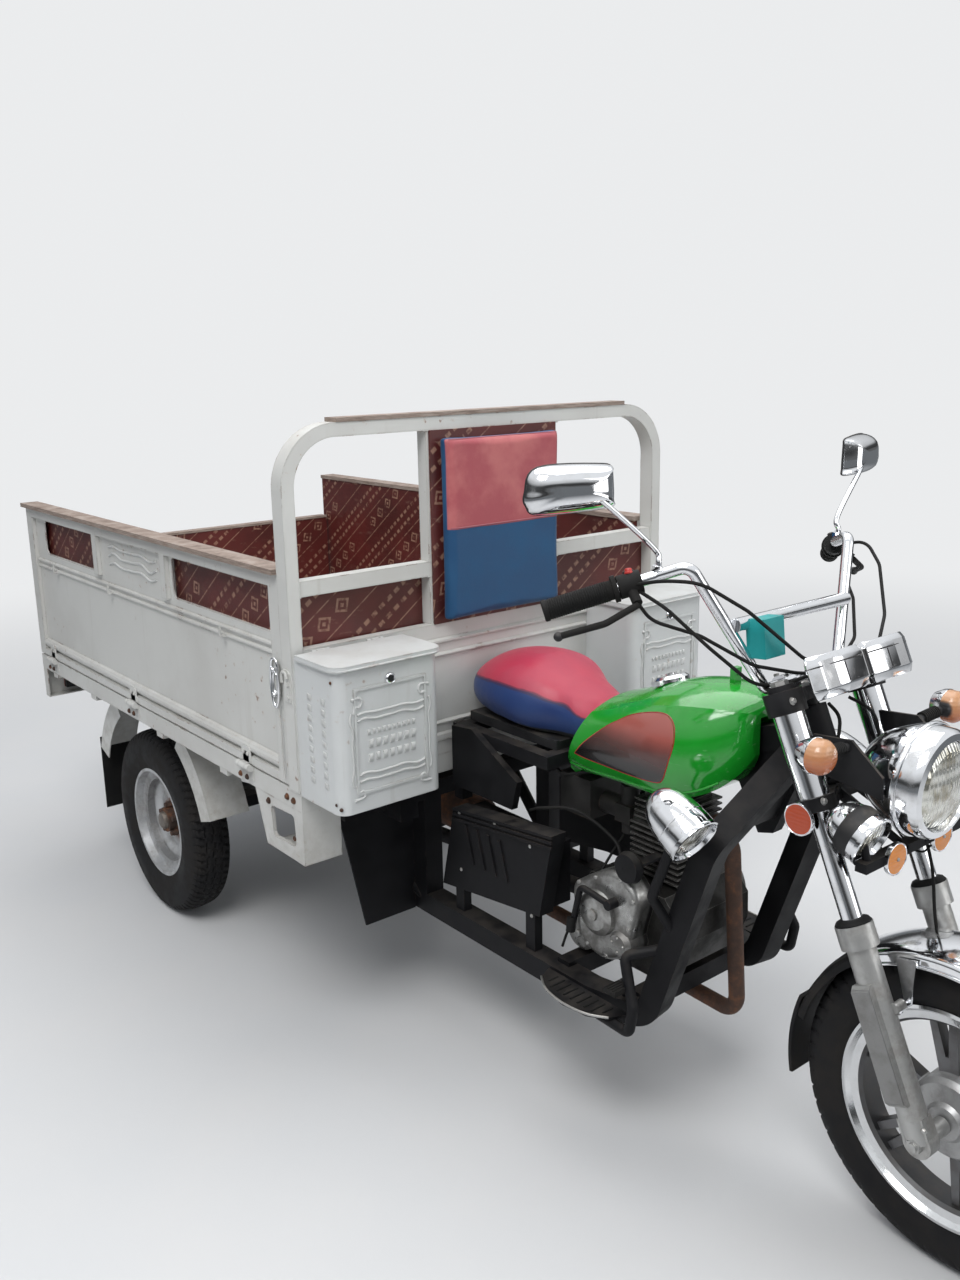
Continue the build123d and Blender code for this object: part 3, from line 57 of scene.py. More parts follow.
RAKE = math.radians(24.2)
FORK_UP = Vector((-math.sin(RAKE), 0, math.cos(RAKE)))
FORK_FORWARD = Vector((math.cos(RAKE), 0, math.sin(RAKE)))


def on_fork(forward, side, up):
    """Point in the steering head's own directions, in millimetres."""
    place = at(922.5, 0, 900) + FORK_FORWARD * forward / 1000 + FORK_UP * up / 1000
    return place + Vector((0, side / 1000, 0))


# ---------------------------------------------------------------- node graphs
class Graph:
    """A material's nodes, with short calls for the few kinds used here."""

    def __init__(self, name):
        self.material = bpy.data.materials.new(name)
        self.material.use_nodes = True
        self.tree = self.material.node_tree
        self.shader = self.tree.nodes["Principled BSDF"]
        coordinates = self.tree.nodes.new("ShaderNodeTexCoord")
        self.place = coordinates.outputs["Object"]
        self.axes = self.node("ShaderNodeSeparateXYZ", Vector=self.place)
        self.x = self.axes.outputs["X"]
        self.y = self.axes.outputs["Y"]
        self.z = self.axes.outputs["Z"]

    def node(self, kind, **inputs):
        made = self.tree.nodes.new(kind)
        for key, value in inputs.items():
            socket = made.inputs[key.replace("_", " ")]
            if isinstance(value, bpy.types.NodeSocket):
                self.tree.links.new(value, socket)
            else:
                socket.default_value = value
        return made

    def math(self, operation, a, b=0.0, clamp=False):
        made = self.tree.nodes.new("ShaderNodeMath")
        made.operation = operation
        made.use_clamp = clamp
        for socket, value in zip(made.inputs, (a, b)):
            if isinstance(value, bpy.types.NodeSocket):
                self.tree.links.new(value, socket)
            else:
                socket.default_value = value
        return made.outputs[0]

    def times(self, first, *others):
        for other in others:
            first = self.math("MULTIPLY", first, other)
        return first

    def noise(self, scale, detail=4.0, roughness=0.55, place=None):
        made = self.node(
            "ShaderNodeTexNoise",
            Vector=place or self.place, Scale=scale, Detail=detail, Roughness=roughness,
        )
        return made.outputs["Fac"]

    def stretched(self, x, y, z):
        """Coordinates scaled unevenly, for streaks and grain."""
        made = self.node("ShaderNodeMapping", Vector=self.place)
        made.inputs["Scale"].default_value = (x, y, z)
        return made.outputs["Vector"]

    def ramp(self, value, *stops):
        """Colours or greys by value; each stop is (position, grey or colour)."""
        made = self.tree.nodes.new("ShaderNodeValToRGB")
        elements = made.color_ramp.elements
        while len(elements) < len(stops):
            elements.new(0.5)
        for element, (position, colour) in zip(elements, stops):
            element.position = position
            element.color = colour4(colour)
        self.tree.links.new(value, made.inputs["Fac"])
        return made.outputs["Color"]

    def band(self, value, low, high):
        """0 below low, 1 above high."""
        made = self.node("ShaderNodeMapRange", Value=value)
        made.inputs["From Min"].default_value = low
        made.inputs["From Max"].default_value = high
        made.interpolation_type = "SMOOTHSTEP"
        return made.outputs["Result"]

    def window(self, value, low, high, soft):
        """1 between low and high, 0 outside."""
        return self.times(self.band(value, low - soft, low + soft), self.band(value, high + soft, high - soft))

    def mix(self, share, a, b):
        made = self.tree.nodes.new("ShaderNodeMix")
        made.data_type = "RGBA"
        for index, value in ((0, share), (6, a), (7, b)):
            if isinstance(value, bpy.types.NodeSocket):
                self.tree.links.new(value, made.inputs[index])
            else:
                made.inputs[index].default_value = value if index == 0 else colour4(value)
        return made.outputs[2]

    def bump(self, height, distance, strength=1.0, normal=None):
        made = self.node("ShaderNodeBump", Height=height, Distance=distance, Strength=strength)
        if normal is not None:
            self.tree.links.new(normal, made.inputs["Normal"])
        return made.outputs["Normal"]

    def facing(self, axis):
        """The surface's normal along one axis, from -1 to 1."""
        geometry = self.tree.nodes.new("ShaderNodeNewGeometry")
        parts = self.node("ShaderNodeSeparateXYZ", Vector=geometry.outputs["Normal"])
        return parts.outputs[axis]

    def edges(self, radius):
        """Near 1 on sharp edges, 0 on flat faces."""
        bevel = self.node("ShaderNodeBevel", Radius=radius)
        bevel.samples = 4
        geometry = self.tree.nodes.new("ShaderNodeNewGeometry")
        dot = self.tree.nodes.new("ShaderNodeVectorMath")
        dot.operation = "DOT_PRODUCT"
        self.tree.links.new(bevel.outputs["Normal"], dot.inputs[0])
        self.tree.links.new(geometry.outputs["Normal"], dot.inputs[1])
        return self.math("SUBTRACT", 1.0, dot.outputs["Value"], clamp=True)

    def upward(self):
        """1 on faces that look up, 0 on sides."""
        return self.band(self.facing("Z"), 0.2, 0.95)

    def distance(self, place):
        """Distance from a point, in metres."""
        made = self.tree.nodes.new("ShaderNodeVectorMath")
        made.operation = "DISTANCE"
        self.tree.links.new(self.place, made.inputs[0])
        made.inputs[1].default_value = place
        return made.outputs["Value"]

    def from_axle(self, place):
        """Distance from a wheel's axle line, in metres."""
        x = self.math("SUBTRACT", self.x, place.x)
        z = self.math("SUBTRACT", self.z, place.z)
        squares = self.math("ADD", self.times(x, x), self.times(z, z))
        return self.math("SQRT", squares)

    def finish(self, **sockets):
        for key, value in sockets.items():
            socket = self.shader.inputs[key.replace("_", " ")]
            if isinstance(value, bpy.types.NodeSocket):
                self.tree.links.new(value, socket)
            elif isinstance(value, tuple) and len(value) == 3:
                socket.default_value = colour4(value)
            else:
                socket.default_value = value
        return self.material


def colour4(colour):
    if isinstance(colour, (int, float)):
        return (colour, colour, colour, 1.0)
    return tuple(colour[:3]) + (1.0,)


# ------------------------------------------------------------------ materials
RUST = (0.17, 0.065, 0.03)
RUST_DARK = (0.07, 0.03, 0.018)
DUST = (0.30, 0.26, 0.21)
GRIME = (0.22, 0.19, 0.15)


def weathered_paint(name, colour, shade, rough, spot_share=0.55, grime_top=0.70, dust=0.25, chips=1.0):
    """Brushed paint with uneven tone, grime low down, runs, rusty chips and painted shade in its creases."""
    g = Graph(name)
    tone = g.mix(g.band(g.noise(3.0, 5.0), 0.35, 0.7), colour, shade)
    runs = g.band(g.noise(8.0, 5.0, 0.6, g.stretched(4.0, 4.0, 0.3)), 0.58, 0.78)
    tone = g.mix(g.times(runs, 0.18), tone, DUST)
    low = g.band(g.z, grime_top, grime_top - 0.26)
    dirty = g.times(low, g.band(g.noise(26.0, 6.0, 0.65), 0.38, 0.66))
    tone = g.mix(g.times(dirty, 0.24), tone, GRIME)
    splashes = g.times(g.band(g.noise(42.0, 5.0, 0.7), 0.60, 0.68), g.band(g.noise(1.9, 3.0), 0.48, 0.6))
    tone = g.mix(g.times(splashes, 0.30), tone, (0.34, 0.28, 0.22))
    settled = g.times(g.upward(), g.band(g.noise(14.0, 5.0), 0.35, 0.7))
    tone = g.mix(g.times(settled, dust), tone, DUST)
    # Painted shade: patches along creases and edges go darker grey-brown, standing for shade in the ribs and grooves,
    # partly as grime.
    creases = g.times(g.band(g.edges(0.007), 0.015, 0.16), g.band(g.noise(7.0, 4.0), 0.25, 0.60))
    tone = g.mix(g.times(creases, 0.42), tone, (0.27, 0.255, 0.23))
    spots = g.times(g.band(g.noise(48.0, 3.0, 0.5), 0.69, 0.72), g.band(g.noise(2.3, 2.0), 0.50, 0.62), spot_share)
    worn = g.times(g.band(g.edges(0.004), 0.04, 0.12), g.band(g.noise(24.0, 4.0), 0.55, 0.60))
    worn = g.times(worn, g.band(g.noise(3.1, 2.0), 0.45, 0.55), chips)
    chipped = g.math("MAXIMUM", spots, worn)
    rust = g.mix(g.noise(120.0, 2.0), RUST, RUST_DARK)
    halo = g.times(g.band(g.noise(48.0, 3.0, 0.5), 0.64, 0.71), g.band(g.noise(2.3, 2.0), 0.50, 0.62), 0.35)
    tone = g.mix(halo, tone, (0.42, 0.26, 0.15))
    tone = g.mix(chipped, tone, rust)
    height = g.math("SUBTRACT", g.times(g.noise(16.0, 3.0), 0.5), chipped)
    return g.finish(
        Base_Color=tone,
        Roughness=g.mix(g.math("MAXIMUM", dirty, chipped), rough, 0.75),
        Normal=g.bump(height, 0.0008, 0.4),
    )


def chrome(name, tint=(0.80, 0.81, 0.83), rough=0.085, grime=0.30, rusty=0.5):
    """Plated steel, hazy and pitted in patches."""
    g = Graph(name)
    haze = g.band(g.noise(26.0, 5.0, 0.6), 0.48, 0.75)
    pits = g.times(g.band(g.noise(220.0, 2.0), 0.68, 0.74), g.band(g.noise(9.0, 3.0), 0.45, 0.6))
    tone = g.mix(g.times(haze, grime), tint, (0.36, 0.33, 0.29))
    tone = g.mix(g.times(pits, rusty), tone, RUST)
    return g.finish(
        Base_Color=tone,
        Metallic=g.mix(pits, 1.0, 0.4),
        Roughness=g.mix(g.math("MAXIMUM", g.times(haze, 0.6), pits), rough, rough + 0.30),
        Normal=g.bump(g.noise(14.0, 2.0), 0.0006, 0.2),
    )


def cast_metal(name, colour, rough, scale=180.0, grime=0.6, dirt=(0.10, 0.085, 0.07)):
    g = Graph(name)
    patch = g.band(g.noise(16.0, 6.0, 0.65), 0.42, 0.68)
    tone = g.mix(g.times(patch, grime), colour, dirt)
    tone = g.mix(g.times(g.upward(), 0.3), tone, DUST)
    return g.finish(
        Base_Color=tone,
        Metallic=g.mix(g.times(patch, grime), 0.85, 0.2),
        Roughness=g.mix(patch, rough, 0.8),
        Normal=g.bump(g.noise(scale, 3.0, 0.6), 0.0004, 0.5),
    )


def dark_steel(name, colour=(0.007, 0.007, 0.008), rough=0.42, dust=0.28, rusty=0.18):
    """Black paint under road dust, with a little rust on the edges."""
    g = Graph(name)
    mottled = g.band(g.noise(8.0, 6.0, 0.6), 0.35, 0.7)
    tone = g.mix(mottled, colour, tuple(1.6 * c + 0.003 for c in colour))
    settled = g.times(g.upward(), g.band(g.noise(20.0, 5.0), 0.3, 0.7))
    tone = g.mix(g.times(settled, dust), tone, (0.11, 0.095, 0.08))
    worn = g.times(g.band(g.edges(0.003), 0.03, 0.14), g.band(g.noise(35.0, 4.0), 0.50, 0.6))
    tone = g.mix(g.times(worn, rusty), tone, (0.13, 0.09, 0.07))
    return g.finish(
        Base_Color=tone,
        Specular_IOR_Level=0.14,
        Roughness=g.mix(g.math("MAXIMUM", settled, mottled), rough, 0.72),
        Normal=g.bump(g.noise(90.0, 4.0), 0.0003, 0.4),
    )


def plastic(name, colour, rough=0.4, sub=0.0, grain=400.0, dust=0.35):
    g = Graph(name)
    fade = g.band(g.noise(11.0, 4.0), 0.35, 0.7)
    tone = g.mix(fade, colour, tuple(min(1.0, c * 1.25 + 0.01) for c in colour))
    settled = g.times(g.upward(), g.band(g.noise(24.0, 5.0), 0.35, 0.7))
    tone = g.mix(g.times(settled, dust), tone, DUST)
    return g.finish(
        Base_Color=tone,
        Roughness=g.mix(fade, rough, rough + 0.18),
        Normal=g.bump(g.noise(grain, 2.0), 0.0002, 0.4),
        Subsurface_Weight=sub,
    )


def rubber(name, colour=(0.008, 0.008, 0.009), dust=0.35):
    g = Graph(name)
    patch = g.band(g.noise(13.0, 6.0, 0.65), 0.38, 0.7)
    tone = g.mix(g.times(patch, dust), colour, (0.045, 0.040, 0.035))
    return g.finish(
        Base_Color=tone,
        Specular_IOR_Level=0.18,
        Roughness=g.mix(patch, 0.58, 0.9),
        Normal=g.bump(g.noise(260.0, 3.0), 0.0003, 0.5),
    )


def rusty_iron(name, base=(0.085, 0.045, 0.03)):
    g = Graph(name)
    scale = g.noise(24.0, 7.0, 0.68)
    tone = g.ramp(scale, (0.30, (0.04, 0.026, 0.02)), (0.50, base), (0.68, (0.20, 0.085, 0.04)))
    return g.finish(
        Base_Color=tone,
        Metallic=0.25,
        Roughness=g.mix(scale, 0.55, 0.95),
        Normal=g.bump(g.noise(140.0, 5.0), 0.0006, 0.7),
    )


def lamp_glass(name, tint=(0.72, 0.72, 0.66)):
    """Fluted lamp glass with its bright reflector showing through."""
    g = Graph(name)
    flutes = g.math("SINE", g.times(g.y, 620.0))
    rings = g.math("SINE", g.times(g.z, 300.0))
    cells = g.math("ADD", g.times(flutes, 0.6), g.times(rings, 0.4))
    blotch = g.band(g.noise(34.0, 4.0), 0.40, 0.68)
    tone = g.mix(blotch, tint, (0.30, 0.27, 0.19))
    return g.finish(
        Base_Color=tone,
        Roughness=g.mix(blotch, 0.10, 0.22),
        Metallic=0.8,
        Coat_Weight=1.0,
        Coat_Roughness=0.04,
        Normal=g.bump(cells, 0.0015, 0.7),
    )


def tank_paint(name):
    """Bright green gloss with fine dust, runs from polishing and painted shade on its lower part."""
    g = Graph(name)
    green = g.mix(g.band(g.noise(4.0, 3.0), 0.4, 0.7), (0.010, 0.30, 0.020), (0.014, 0.36, 0.030))
    # Painted shade: the green is darker towards the tank's lower part.
    low = g.band(g.z, 0.80, 0.72)
    tone = g.mix(g.times(low, 0.35), green, (0.02, 0.10, 0.02))
    dusty = g.times(g.upward(), g.band(g.noise(30.0, 5.0), 0.45, 0.75))
    tone = g.mix(g.times(dusty, 0.12), tone, DUST)
    scratches = g.band(g.noise(60.0, 3.0, 0.5, g.stretched(0.2, 1.0, 3.0)), 0.66, 0.72)
    tone = g.mix(g.times(scratches, 0.18), tone, (0.25, 0.45, 0.25))
    return g.finish(
        Base_Color=tone,
        Roughness=g.mix(dusty, 0.13, 0.4),
        Coat_Weight=0.6,
        Coat_Roughness=0.04,
        Normal=g.bump(g.noise(9.0, 2.0), 0.0010, 0.2),
    )


def panel_red(name):
    """Airbrushed tank panel, pinkish red above fading to near black below."""
    g = Graph(name)
    rise = g.math("DIVIDE", g.math("SUBTRACT", g.z, 0.764), 0.145)
    fade = g.math("ADD", rise, g.times(g.noise(14.0, 2.0), 0.14))
    tone = g.ramp(fade, (0.26, (0.008, 0.006, 0.006)), (0.52, (0.10, 0.028, 0.022)), (0.78, (0.40, 0.105, 0.085)))
    return g.finish(
        Base_Color=tone,
        Roughness=g.mix(g.noise(30.0, 3.0), 0.16, 0.3),
        Coat_Weight=0.6,
        Coat_Roughness=0.05,
    )


def film_ply(name, cap_from):
    """Red brown film faced board with plain slanting bands, its raw cap above."""
    g = Graph(name)
    run = g.math("ADD", g.x, g.y)
    slant = g.math("ADD", g.times(run, 0.80), g.times(g.z, 0.60))
    across = g.math("SUBTRACT", g.times(g.z, 0.80), g.times(run, 0.60))
    lane = g.math("FRACT", g.math("DIVIDE", across, 0.172))
    step = g.math("FRACT", g.math("DIVIDE", slant, 0.060))
    dash = g.math("FRACT", g.math("DIVIDE", slant, 0.026))
    rails = g.math("MAXIMUM", g.window(lane, 0.06, 0.076, 0.006), g.window(lane, 0.44, 0.456, 0.006))
    sideways = g.math("DIVIDE", g.math("ABSOLUTE", g.math("SUBTRACT", step, 0.5)), 0.40)
    upright = g.math("DIVIDE", g.math("ABSOLUTE", g.math("SUBTRACT", lane, 0.258)), 0.125)
    reach = g.math("ADD", sideways, upright)
    ring = g.math("SUBTRACT", g.band(reach, 1.0, 0.93), g.band(reach, 0.66, 0.59), clamp=True)
    diamonds = g.math("ADD", ring, g.band(reach, 0.30, 0.24), clamp=True)
    group = g.math("FRACT", g.math("DIVIDE", slant, 0.48))
    diamonds = g.times(diamonds, g.window(group, 0.0, 0.75, 0.002))
    slots = g.times(g.window(dash, 0.20, 0.80, 0.05), g.window(lane, 0.60, 0.66, 0.010))
    slots = g.math("MAXIMUM", slots, g.times(g.window(dash, 0.20, 0.80, 0.05), g.window(lane, 0.78, 0.84, 0.010)))
    printed = g.math("MAXIMUM", g.math("MAXIMUM", diamonds, slots), rails)
    worn = g.band(g.noise(70.0, 4.0), 0.30, 0.56)
    film = g.mix(g.band(g.noise(5.0, 5.0), 0.35, 0.7), (0.105, 0.017, 0.014), (0.062, 0.012, 0.010))
    tone = g.mix(g.times(printed, worn, 0.60), film, (0.42, 0.25, 0.17))
    scuffs = g.band(g.noise(26.0, 6.0, 0.65, g.stretched(1.0, 1.0, 4.0)), 0.60, 0.72)
    tone = g.mix(g.times(scuffs, 0.3), tone, (0.30, 0.19, 0.14))
    grain = g.noise(40.0, 6.0, 0.7, g.stretched(0.5, 0.5, 6.0))
    wood = g.ramp(grain, (0.28, (0.13, 0.090, 0.070)), (0.50, (0.27, 0.21, 0.175)), (0.70, (0.37, 0.31, 0.27)))
    cap = g.band(g.z, cap_from - 0.0005, cap_from + 0.0005)
    height = g.noise(130.0, 3.0, 0.5, g.stretched(1.0, 1.0, 5.0))
    return g.finish(
        Base_Color=g.mix(cap, tone, wood),
        Roughness=g.mix(g.math("MAXIMUM", scuffs, cap), 0.40, 0.78),
        Normal=g.bump(g.math("ADD", height, g.times(grain, cap)), 0.0005, 0.5),
    )


def coated_cloth(name, tone_of, rough=0.5):
    """Coated fabric with a fine weave, creases and uneven fading."""
    g = Graph(name)
    patch = g.band(g.noise(9.0, 5.0, 0.6), 0.35, 0.7)
    warp = g.math("SINE", g.times(g.math("ADD", g.x, g.z), 3400.0))
    weft = g.math("SINE", g.times(g.math("SUBTRACT", g.y, g.times(g.z, 0.6)), 3400.0))
    grain = g.math("ADD", g.times(warp, weft, 0.10), g.noise(150.0, 4.0))
    creases = g.noise(13.0, 4.0, 0.5, g.stretched(1.0, 1.0, 2.6))
    height = g.math("ADD", g.times(grain, 0.25), creases)
    return g.finish(
        Base_Color=tone_of(g, patch),
        Roughness=g.mix(patch, rough, rough + 0.2),
        Sheen_Weight=0.08,
        Normal=g.bump(height, 0.0022, 0.35),
    )


def seat_tones(g, patch):
    """Rose top, blue sides and a dark lower edge; the seam follows the top's rim."""
    slope = g.facing("Z")
    top = g.band(slope, 0.44, 0.46)
    seam = g.times(g.band(slope, 0.38, 0.40), g.band(slope, 0.50, 0.48))
    rose = g.mix(patch, (0.42, 0.024, 0.058), (0.38, 0.040, 0.075))
    blue = g.mix(patch, (0.005, 0.026, 0.125), (0.008, 0.036, 0.145))
    sides = g.mix(g.band(g.z, 0.781, 0.778), blue, (0.010, 0.010, 0.014))
    return g.mix(g.times(seam, 0.7), g.mix(top, sides, rose), (0.030, 0.008, 0.035))


def pad_tones(g, patch):
    """Blue cover with a faded rose sheet sewn on the upper half of its front."""
    ahead = g.band(g.facing("X"), 0.25, 0.45)
    upper = g.band(g.math("ADD", g.z, g.times(g.noise(7.0, 2.0), 0.006)), 1.207, 1.209)
    level = g.band(g.z, 1.408, 1.406)
    beside = g.band(g.math("ABSOLUTE", g.y), 0.172, 0.170)
    sheet = g.times(ahead, upper, level, beside)
    worn = g.band(g.noise(6.0, 5.0, 0.6), 0.40, 0.62)
    rose = g.mix(worn, (0.36, 0.070, 0.085), (0.47, 0.135, 0.135))
    blue = g.mix(patch, (0.004, 0.056, 0.150), (0.007, 0.072, 0.175))
    return g.mix(sheet, blue, rose)


def front_rim_metal(name, axle):
    """Polished lip, painted spokes and a cast hub; by facing, sideways faces are lighter and the barrel and spoke
    edges darker, painted light and shade.
    """
    g = Graph(name)
    r = g.from_axle(axle)
    lip = g.band(r, 0.1775, 0.1785)
    hub = g.band(r, 0.078, 0.076)
    # Painted light and shade by facing: faces turned to the sides get a lighter grey, the barrel and spoke edges a
    # darker one.
    side = g.band(g.math("ABSOLUTE", g.facing("Y")), 0.5, 0.8)
    rings = g.math("SINE", g.times(r, 520.0))
    dirt = g.band(g.noise(30.0, 5.0, 0.6), 0.40, 0.7)
    dirt = g.times(dirt, g.math("SUBTRACT", 1.0, g.times(lip, 0.75)))
    spoke_lit_and_shaded = g.mix(side, (0.045, 0.045, 0.047), (0.16, 0.16, 0.165))
    tone = g.mix(lip, spoke_lit_and_shaded, (0.70, 0.71, 0.72))
    tone = g.mix(hub, tone, (0.36, 0.36, 0.36))
    tone = g.mix(g.times(dirt, 0.4), tone, (0.09, 0.08, 0.07))
    rough = g.mix(lip, 0.42, 0.12)
    return g.finish(
        Base_Color=tone,
        Metallic=g.mix(lip, 0.6, 1.0),
        Roughness=g.mix(dirt, rough, 0.5),
        Normal=g.bump(g.math("ADD", g.times(rings, hub, 0.5), g.noise(120.0, 3.0)), 0.0004, 0.4),
    )


def rear_rim_metal(name):
    """Silver disc wheel, rusty towards its middle and darker in a ring at the drop."""
    g = Graph(name)
    r = g.from_axle(at(-977, 0, 272))
    dirt = g.band(g.noise(22.0, 6.0, 0.65), 0.38, 0.7)
    middle = g.times(g.band(r, 0.085, 0.045), g.band(g.noise(34.0, 5.0, 0.65), 0.34, 0.56))
    tone = g.mix(g.times(dirt, 0.45), (0.50, 0.51, 0.52), (0.16, 0.14, 0.12))
    # A plain darker ring over the drop, the same all round.
    tone = g.mix(g.times(g.window(r, 0.110, 0.136, 0.008), 0.35), tone, (0.10, 0.09, 0.08))
    tone = g.mix(middle, tone, (0.15, 0.065, 0.035))
    return g.finish(
        Base_Color=tone,
        Metallic=g.mix(g.math("MAXIMUM", middle, g.times(dirt, 0.5)), 0.8, 0.1),
        Roughness=g.mix(g.math("MAXIMUM", dirt, middle), 0.34, 0.8),
        Normal=g.bump(g.noise(90.0, 4.0), 0.0004, 0.5),
    )


def engine_metal(name):
    """Dark oily case; the covers' outer faces are worn bright."""
    g = Graph(name)
    out = g.band(g.math("ABSOLUTE", g.y), 0.118, 0.130)
    grime = g.band(g.noise(20.0, 6.0, 0.66), 0.34, 0.66)
    core = g.mix(grime, (0.030, 0.029, 0.027), (0.010, 0.009, 0.008))
    cover = g.mix(g.times(grime, 0.6), (0.44, 0.44, 0.43), (0.08, 0.07, 0.06))
    worn = g.band(g.edges(0.003), 0.03, 0.12)
    tone = g.mix(out, g.mix(g.times(worn, 0.5), core, (0.34, 0.33, 0.31)), cover)
    return g.finish(
        Base_Color=tone,
        Metallic=g.mix(out, 0.45, 0.9),
        Roughness=g.mix(grime, g.mix(out, 0.42, 0.24), 0.6),
        Normal=g.bump(g.noise(150.0, 4.0), 0.0004, 0.5),
    )


def finned_metal(name):
    """Black painted barrel with the fins' edges rubbed bare."""
    g = Graph(name)
    grime = g.band(g.noise(24.0, 6.0, 0.66), 0.34, 0.66)
    rim = g.band(g.edges(0.0016), 0.02, 0.10)
    tone = g.mix(grime, (0.085, 0.082, 0.077), (0.022, 0.020, 0.018))
    tone = g.mix(g.times(rim, 0.8), tone, (0.42, 0.41, 0.39))
    return g.finish(
        Base_Color=tone,
        Metallic=g.mix(rim, 0.4, 0.9),
        Roughness=g.mix(grime, 0.4, 0.75),
        Normal=g.bump(g.noise(150.0, 4.0), 0.0003, 0.5),
    )


def slider_metal(name):
    """Pale cast fork legs, the flat rib on each left with a rough skin."""
    g = Graph(name)
    grime = g.band(g.noise(22.0, 6.0, 0.62), 0.42, 0.7)
    rib = g.band(g.math("ABSOLUTE", g.y), 0.1500, 0.1515)
    tone = g.mix(g.times(grime, 0.45), (0.43, 0.43, 0.42), (0.15, 0.13, 0.11))
    tone = g.mix(g.times(rib, 0.55), tone, (0.17, 0.17, 0.17))
    rough_skin = g.times(g.noise(150.0, 5.0, 0.7), rib, 4.0)
    return g.finish(
        Base_Color=tone,
        Metallic=0.75,
        Roughness=g.mix(g.math("MAXIMUM", grime, rib), 0.36, 0.62),
        Normal=g.bump(g.math("ADD", rough_skin, g.noise(90.0, 2.0)), 0.0006, 0.6),
    )


def tail_lamp_plastic(name):
    """Red outer lens in a black housing."""
    g = Graph(name)
    lens = g.band(g.x, FRONT_FACE - 1.638, FRONT_FACE - 1.640)
    cells = g.times(g.math("SINE", g.times(g.y, 900.0)), g.math("SINE", g.times(g.z, 900.0)))
    red = g.mix(g.band(g.noise(20.0, 4.0), 0.4, 0.7), (0.36, 0.012, 0.010), (0.24, 0.016, 0.012))
    return g.finish(
        Base_Color=g.mix(lens, (0.010, 0.010, 0.011), red),
        Roughness=g.mix(lens, 0.6, 0.18),
        Normal=g.bump(g.times(cells, lens), 0.0006, 0.5),
    )


def signal_plastic(name):
    """Sun bleached lamp balls, amber reflectors and black rubber stalks."""
    g = Graph(name)
    side = g.math("ABSOLUTE", g.y)
    stalk = g.times(g.band(side, 0.178, 0.174), g.band(g.z, 0.90, 0.91))
    ribs = g.math("SINE", g.times(g.z, 900.0))
    bleached = g.band(g.math("ADD", g.z, g.times(g.noise(26.0, 3.0), 0.03)), 0.945, 0.985)
    ball = g.mix(bleached, (0.46, 0.13, 0.045), (0.50, 0.26, 0.13))
    upper = g.band(g.z, 0.89, 0.90)
    outer = g.band(side, 0.145, 0.150)
    amber = g.mix(outer, (0.66, 0.21, 0.012), (0.42, 0.050, 0.008))
    tone = g.mix(upper, amber, ball)
    tone = g.mix(stalk, tone, (0.014, 0.014, 0.015))
    return g.finish(
        Base_Color=tone,
        Roughness=g.mix(stalk, 0.24, 0.6),
        Coat_Weight=0.3,
        Normal=g.bump(g.math("ADD", g.times(ribs, 0.4), g.noise(300.0, 2.0)), 0.0006, 0.5),
    )


finishes = {
    "white_paint": weathered_paint("white_paint", (0.61, 0.61, 0.585), (0.54, 0.535, 0.51), 0.40),
    "black_frame": dark_steel("black_frame"),
    "green_paint": tank_paint("green_paint"),
    "chrome": chrome("chrome"),
    "cast_alloy": cast_metal("cast_alloy", (0.40, 0.40, 0.40), 0.34),
    "silver_wheel": cast_metal("silver_wheel", (0.52, 0.53, 0.54), 0.36, 120.0, 0.45),
    "rusty_iron": rusty_iron("rusty_iron"),
    "spring_steel": dark_steel("spring_steel", (0.022, 0.020, 0.018), 0.6, 0.6, 0.5),
    "tyre": rubber("tyre"),
    "rubber": rubber("rubber", (0.009, 0.009, 0.009), 0.2),
    "black_plastic": plastic("black_plastic", (0.009, 0.009, 0.010), 0.42, dust=0.2),
    "teal_plastic": plastic("teal_plastic", (0.0, 0.24, 0.24), 0.4),
    "amber_plastic": signal_plastic("amber_plastic"),
    "red_plastic": plastic("red_plastic", (0.40, 0.02, 0.015), 0.25, 0.1, 220.0, 0.2),
    "clear_glass": lamp_glass("clear_glass"),
    "plywood": film_ply("plywood", 1.1451),
    "seat_cover": coated_cloth("seat_cover", seat_tones, 0.42),
    "pad_cover": coated_cloth("pad_cover", pad_tones, 0.5),
}
AXLE = on_fork(40, 0, (296 - 900 - 40 * math.sin(RAKE)) / math.cos(RAKE))
special = {
    "front_rim": front_rim_metal("front_rim_metal", AXLE),
    "rear_rim_right": rear_rim_metal("rear_rim_metal"),
    "engine_case": engine_metal("engine_metal"),
    "engine_cylinder": finned_metal("finned_metal"),
    "carburettor": dark_steel("carburettor_metal", (0.030, 0.029, 0.028), 0.40, 0.5, 0.7),
    "foot_controls": dark_steel("pedal_black", (0.008, 0.008, 0.009), 0.34, 0.3, 0.4),
    "fork_sliders": slider_metal("slider_metal"),
    "fork_yokes": dark_steel("yoke_black", (0.012, 0.012, 0.013), 0.28, 0.5, 0.3),
    "rear_hub_right": rusty_iron("hub_rust", (0.065, 0.038, 0.028)),
    "tailgate_boards": film_ply("tail_boards", 1.0041),
    "hoop_boards": film_ply("hoop_film", 1.4561),
    "instrument_cluster": chrome("cluster_chrome", (0.84, 0.84, 0.85), 0.10, 0.18, 0.2),
    "tail_lamps": tail_lamp_plastic("tail_lamp_plastic"),
    "fender_flap": rubber("flap_black", (0.008, 0.008, 0.009), 0.5),
}
special["rear_rim_left"] = special["rear_rim_right"]
special["rear_hub_left"] = special["rear_hub_right"]


def dress(node):
    """Gives each slot of a CAD node the finish of the same name, or the node's own."""
    for slot in nodes[node].material_slots:
        base = slot.material.name.split(".")[0] if slot.material else ""
        if node in special:
            slot.material = special[node]
        elif base in finishes and slot.material is not finishes[base]:
            slot.material = finishes[base]


for name in nodes:
    dress(name)


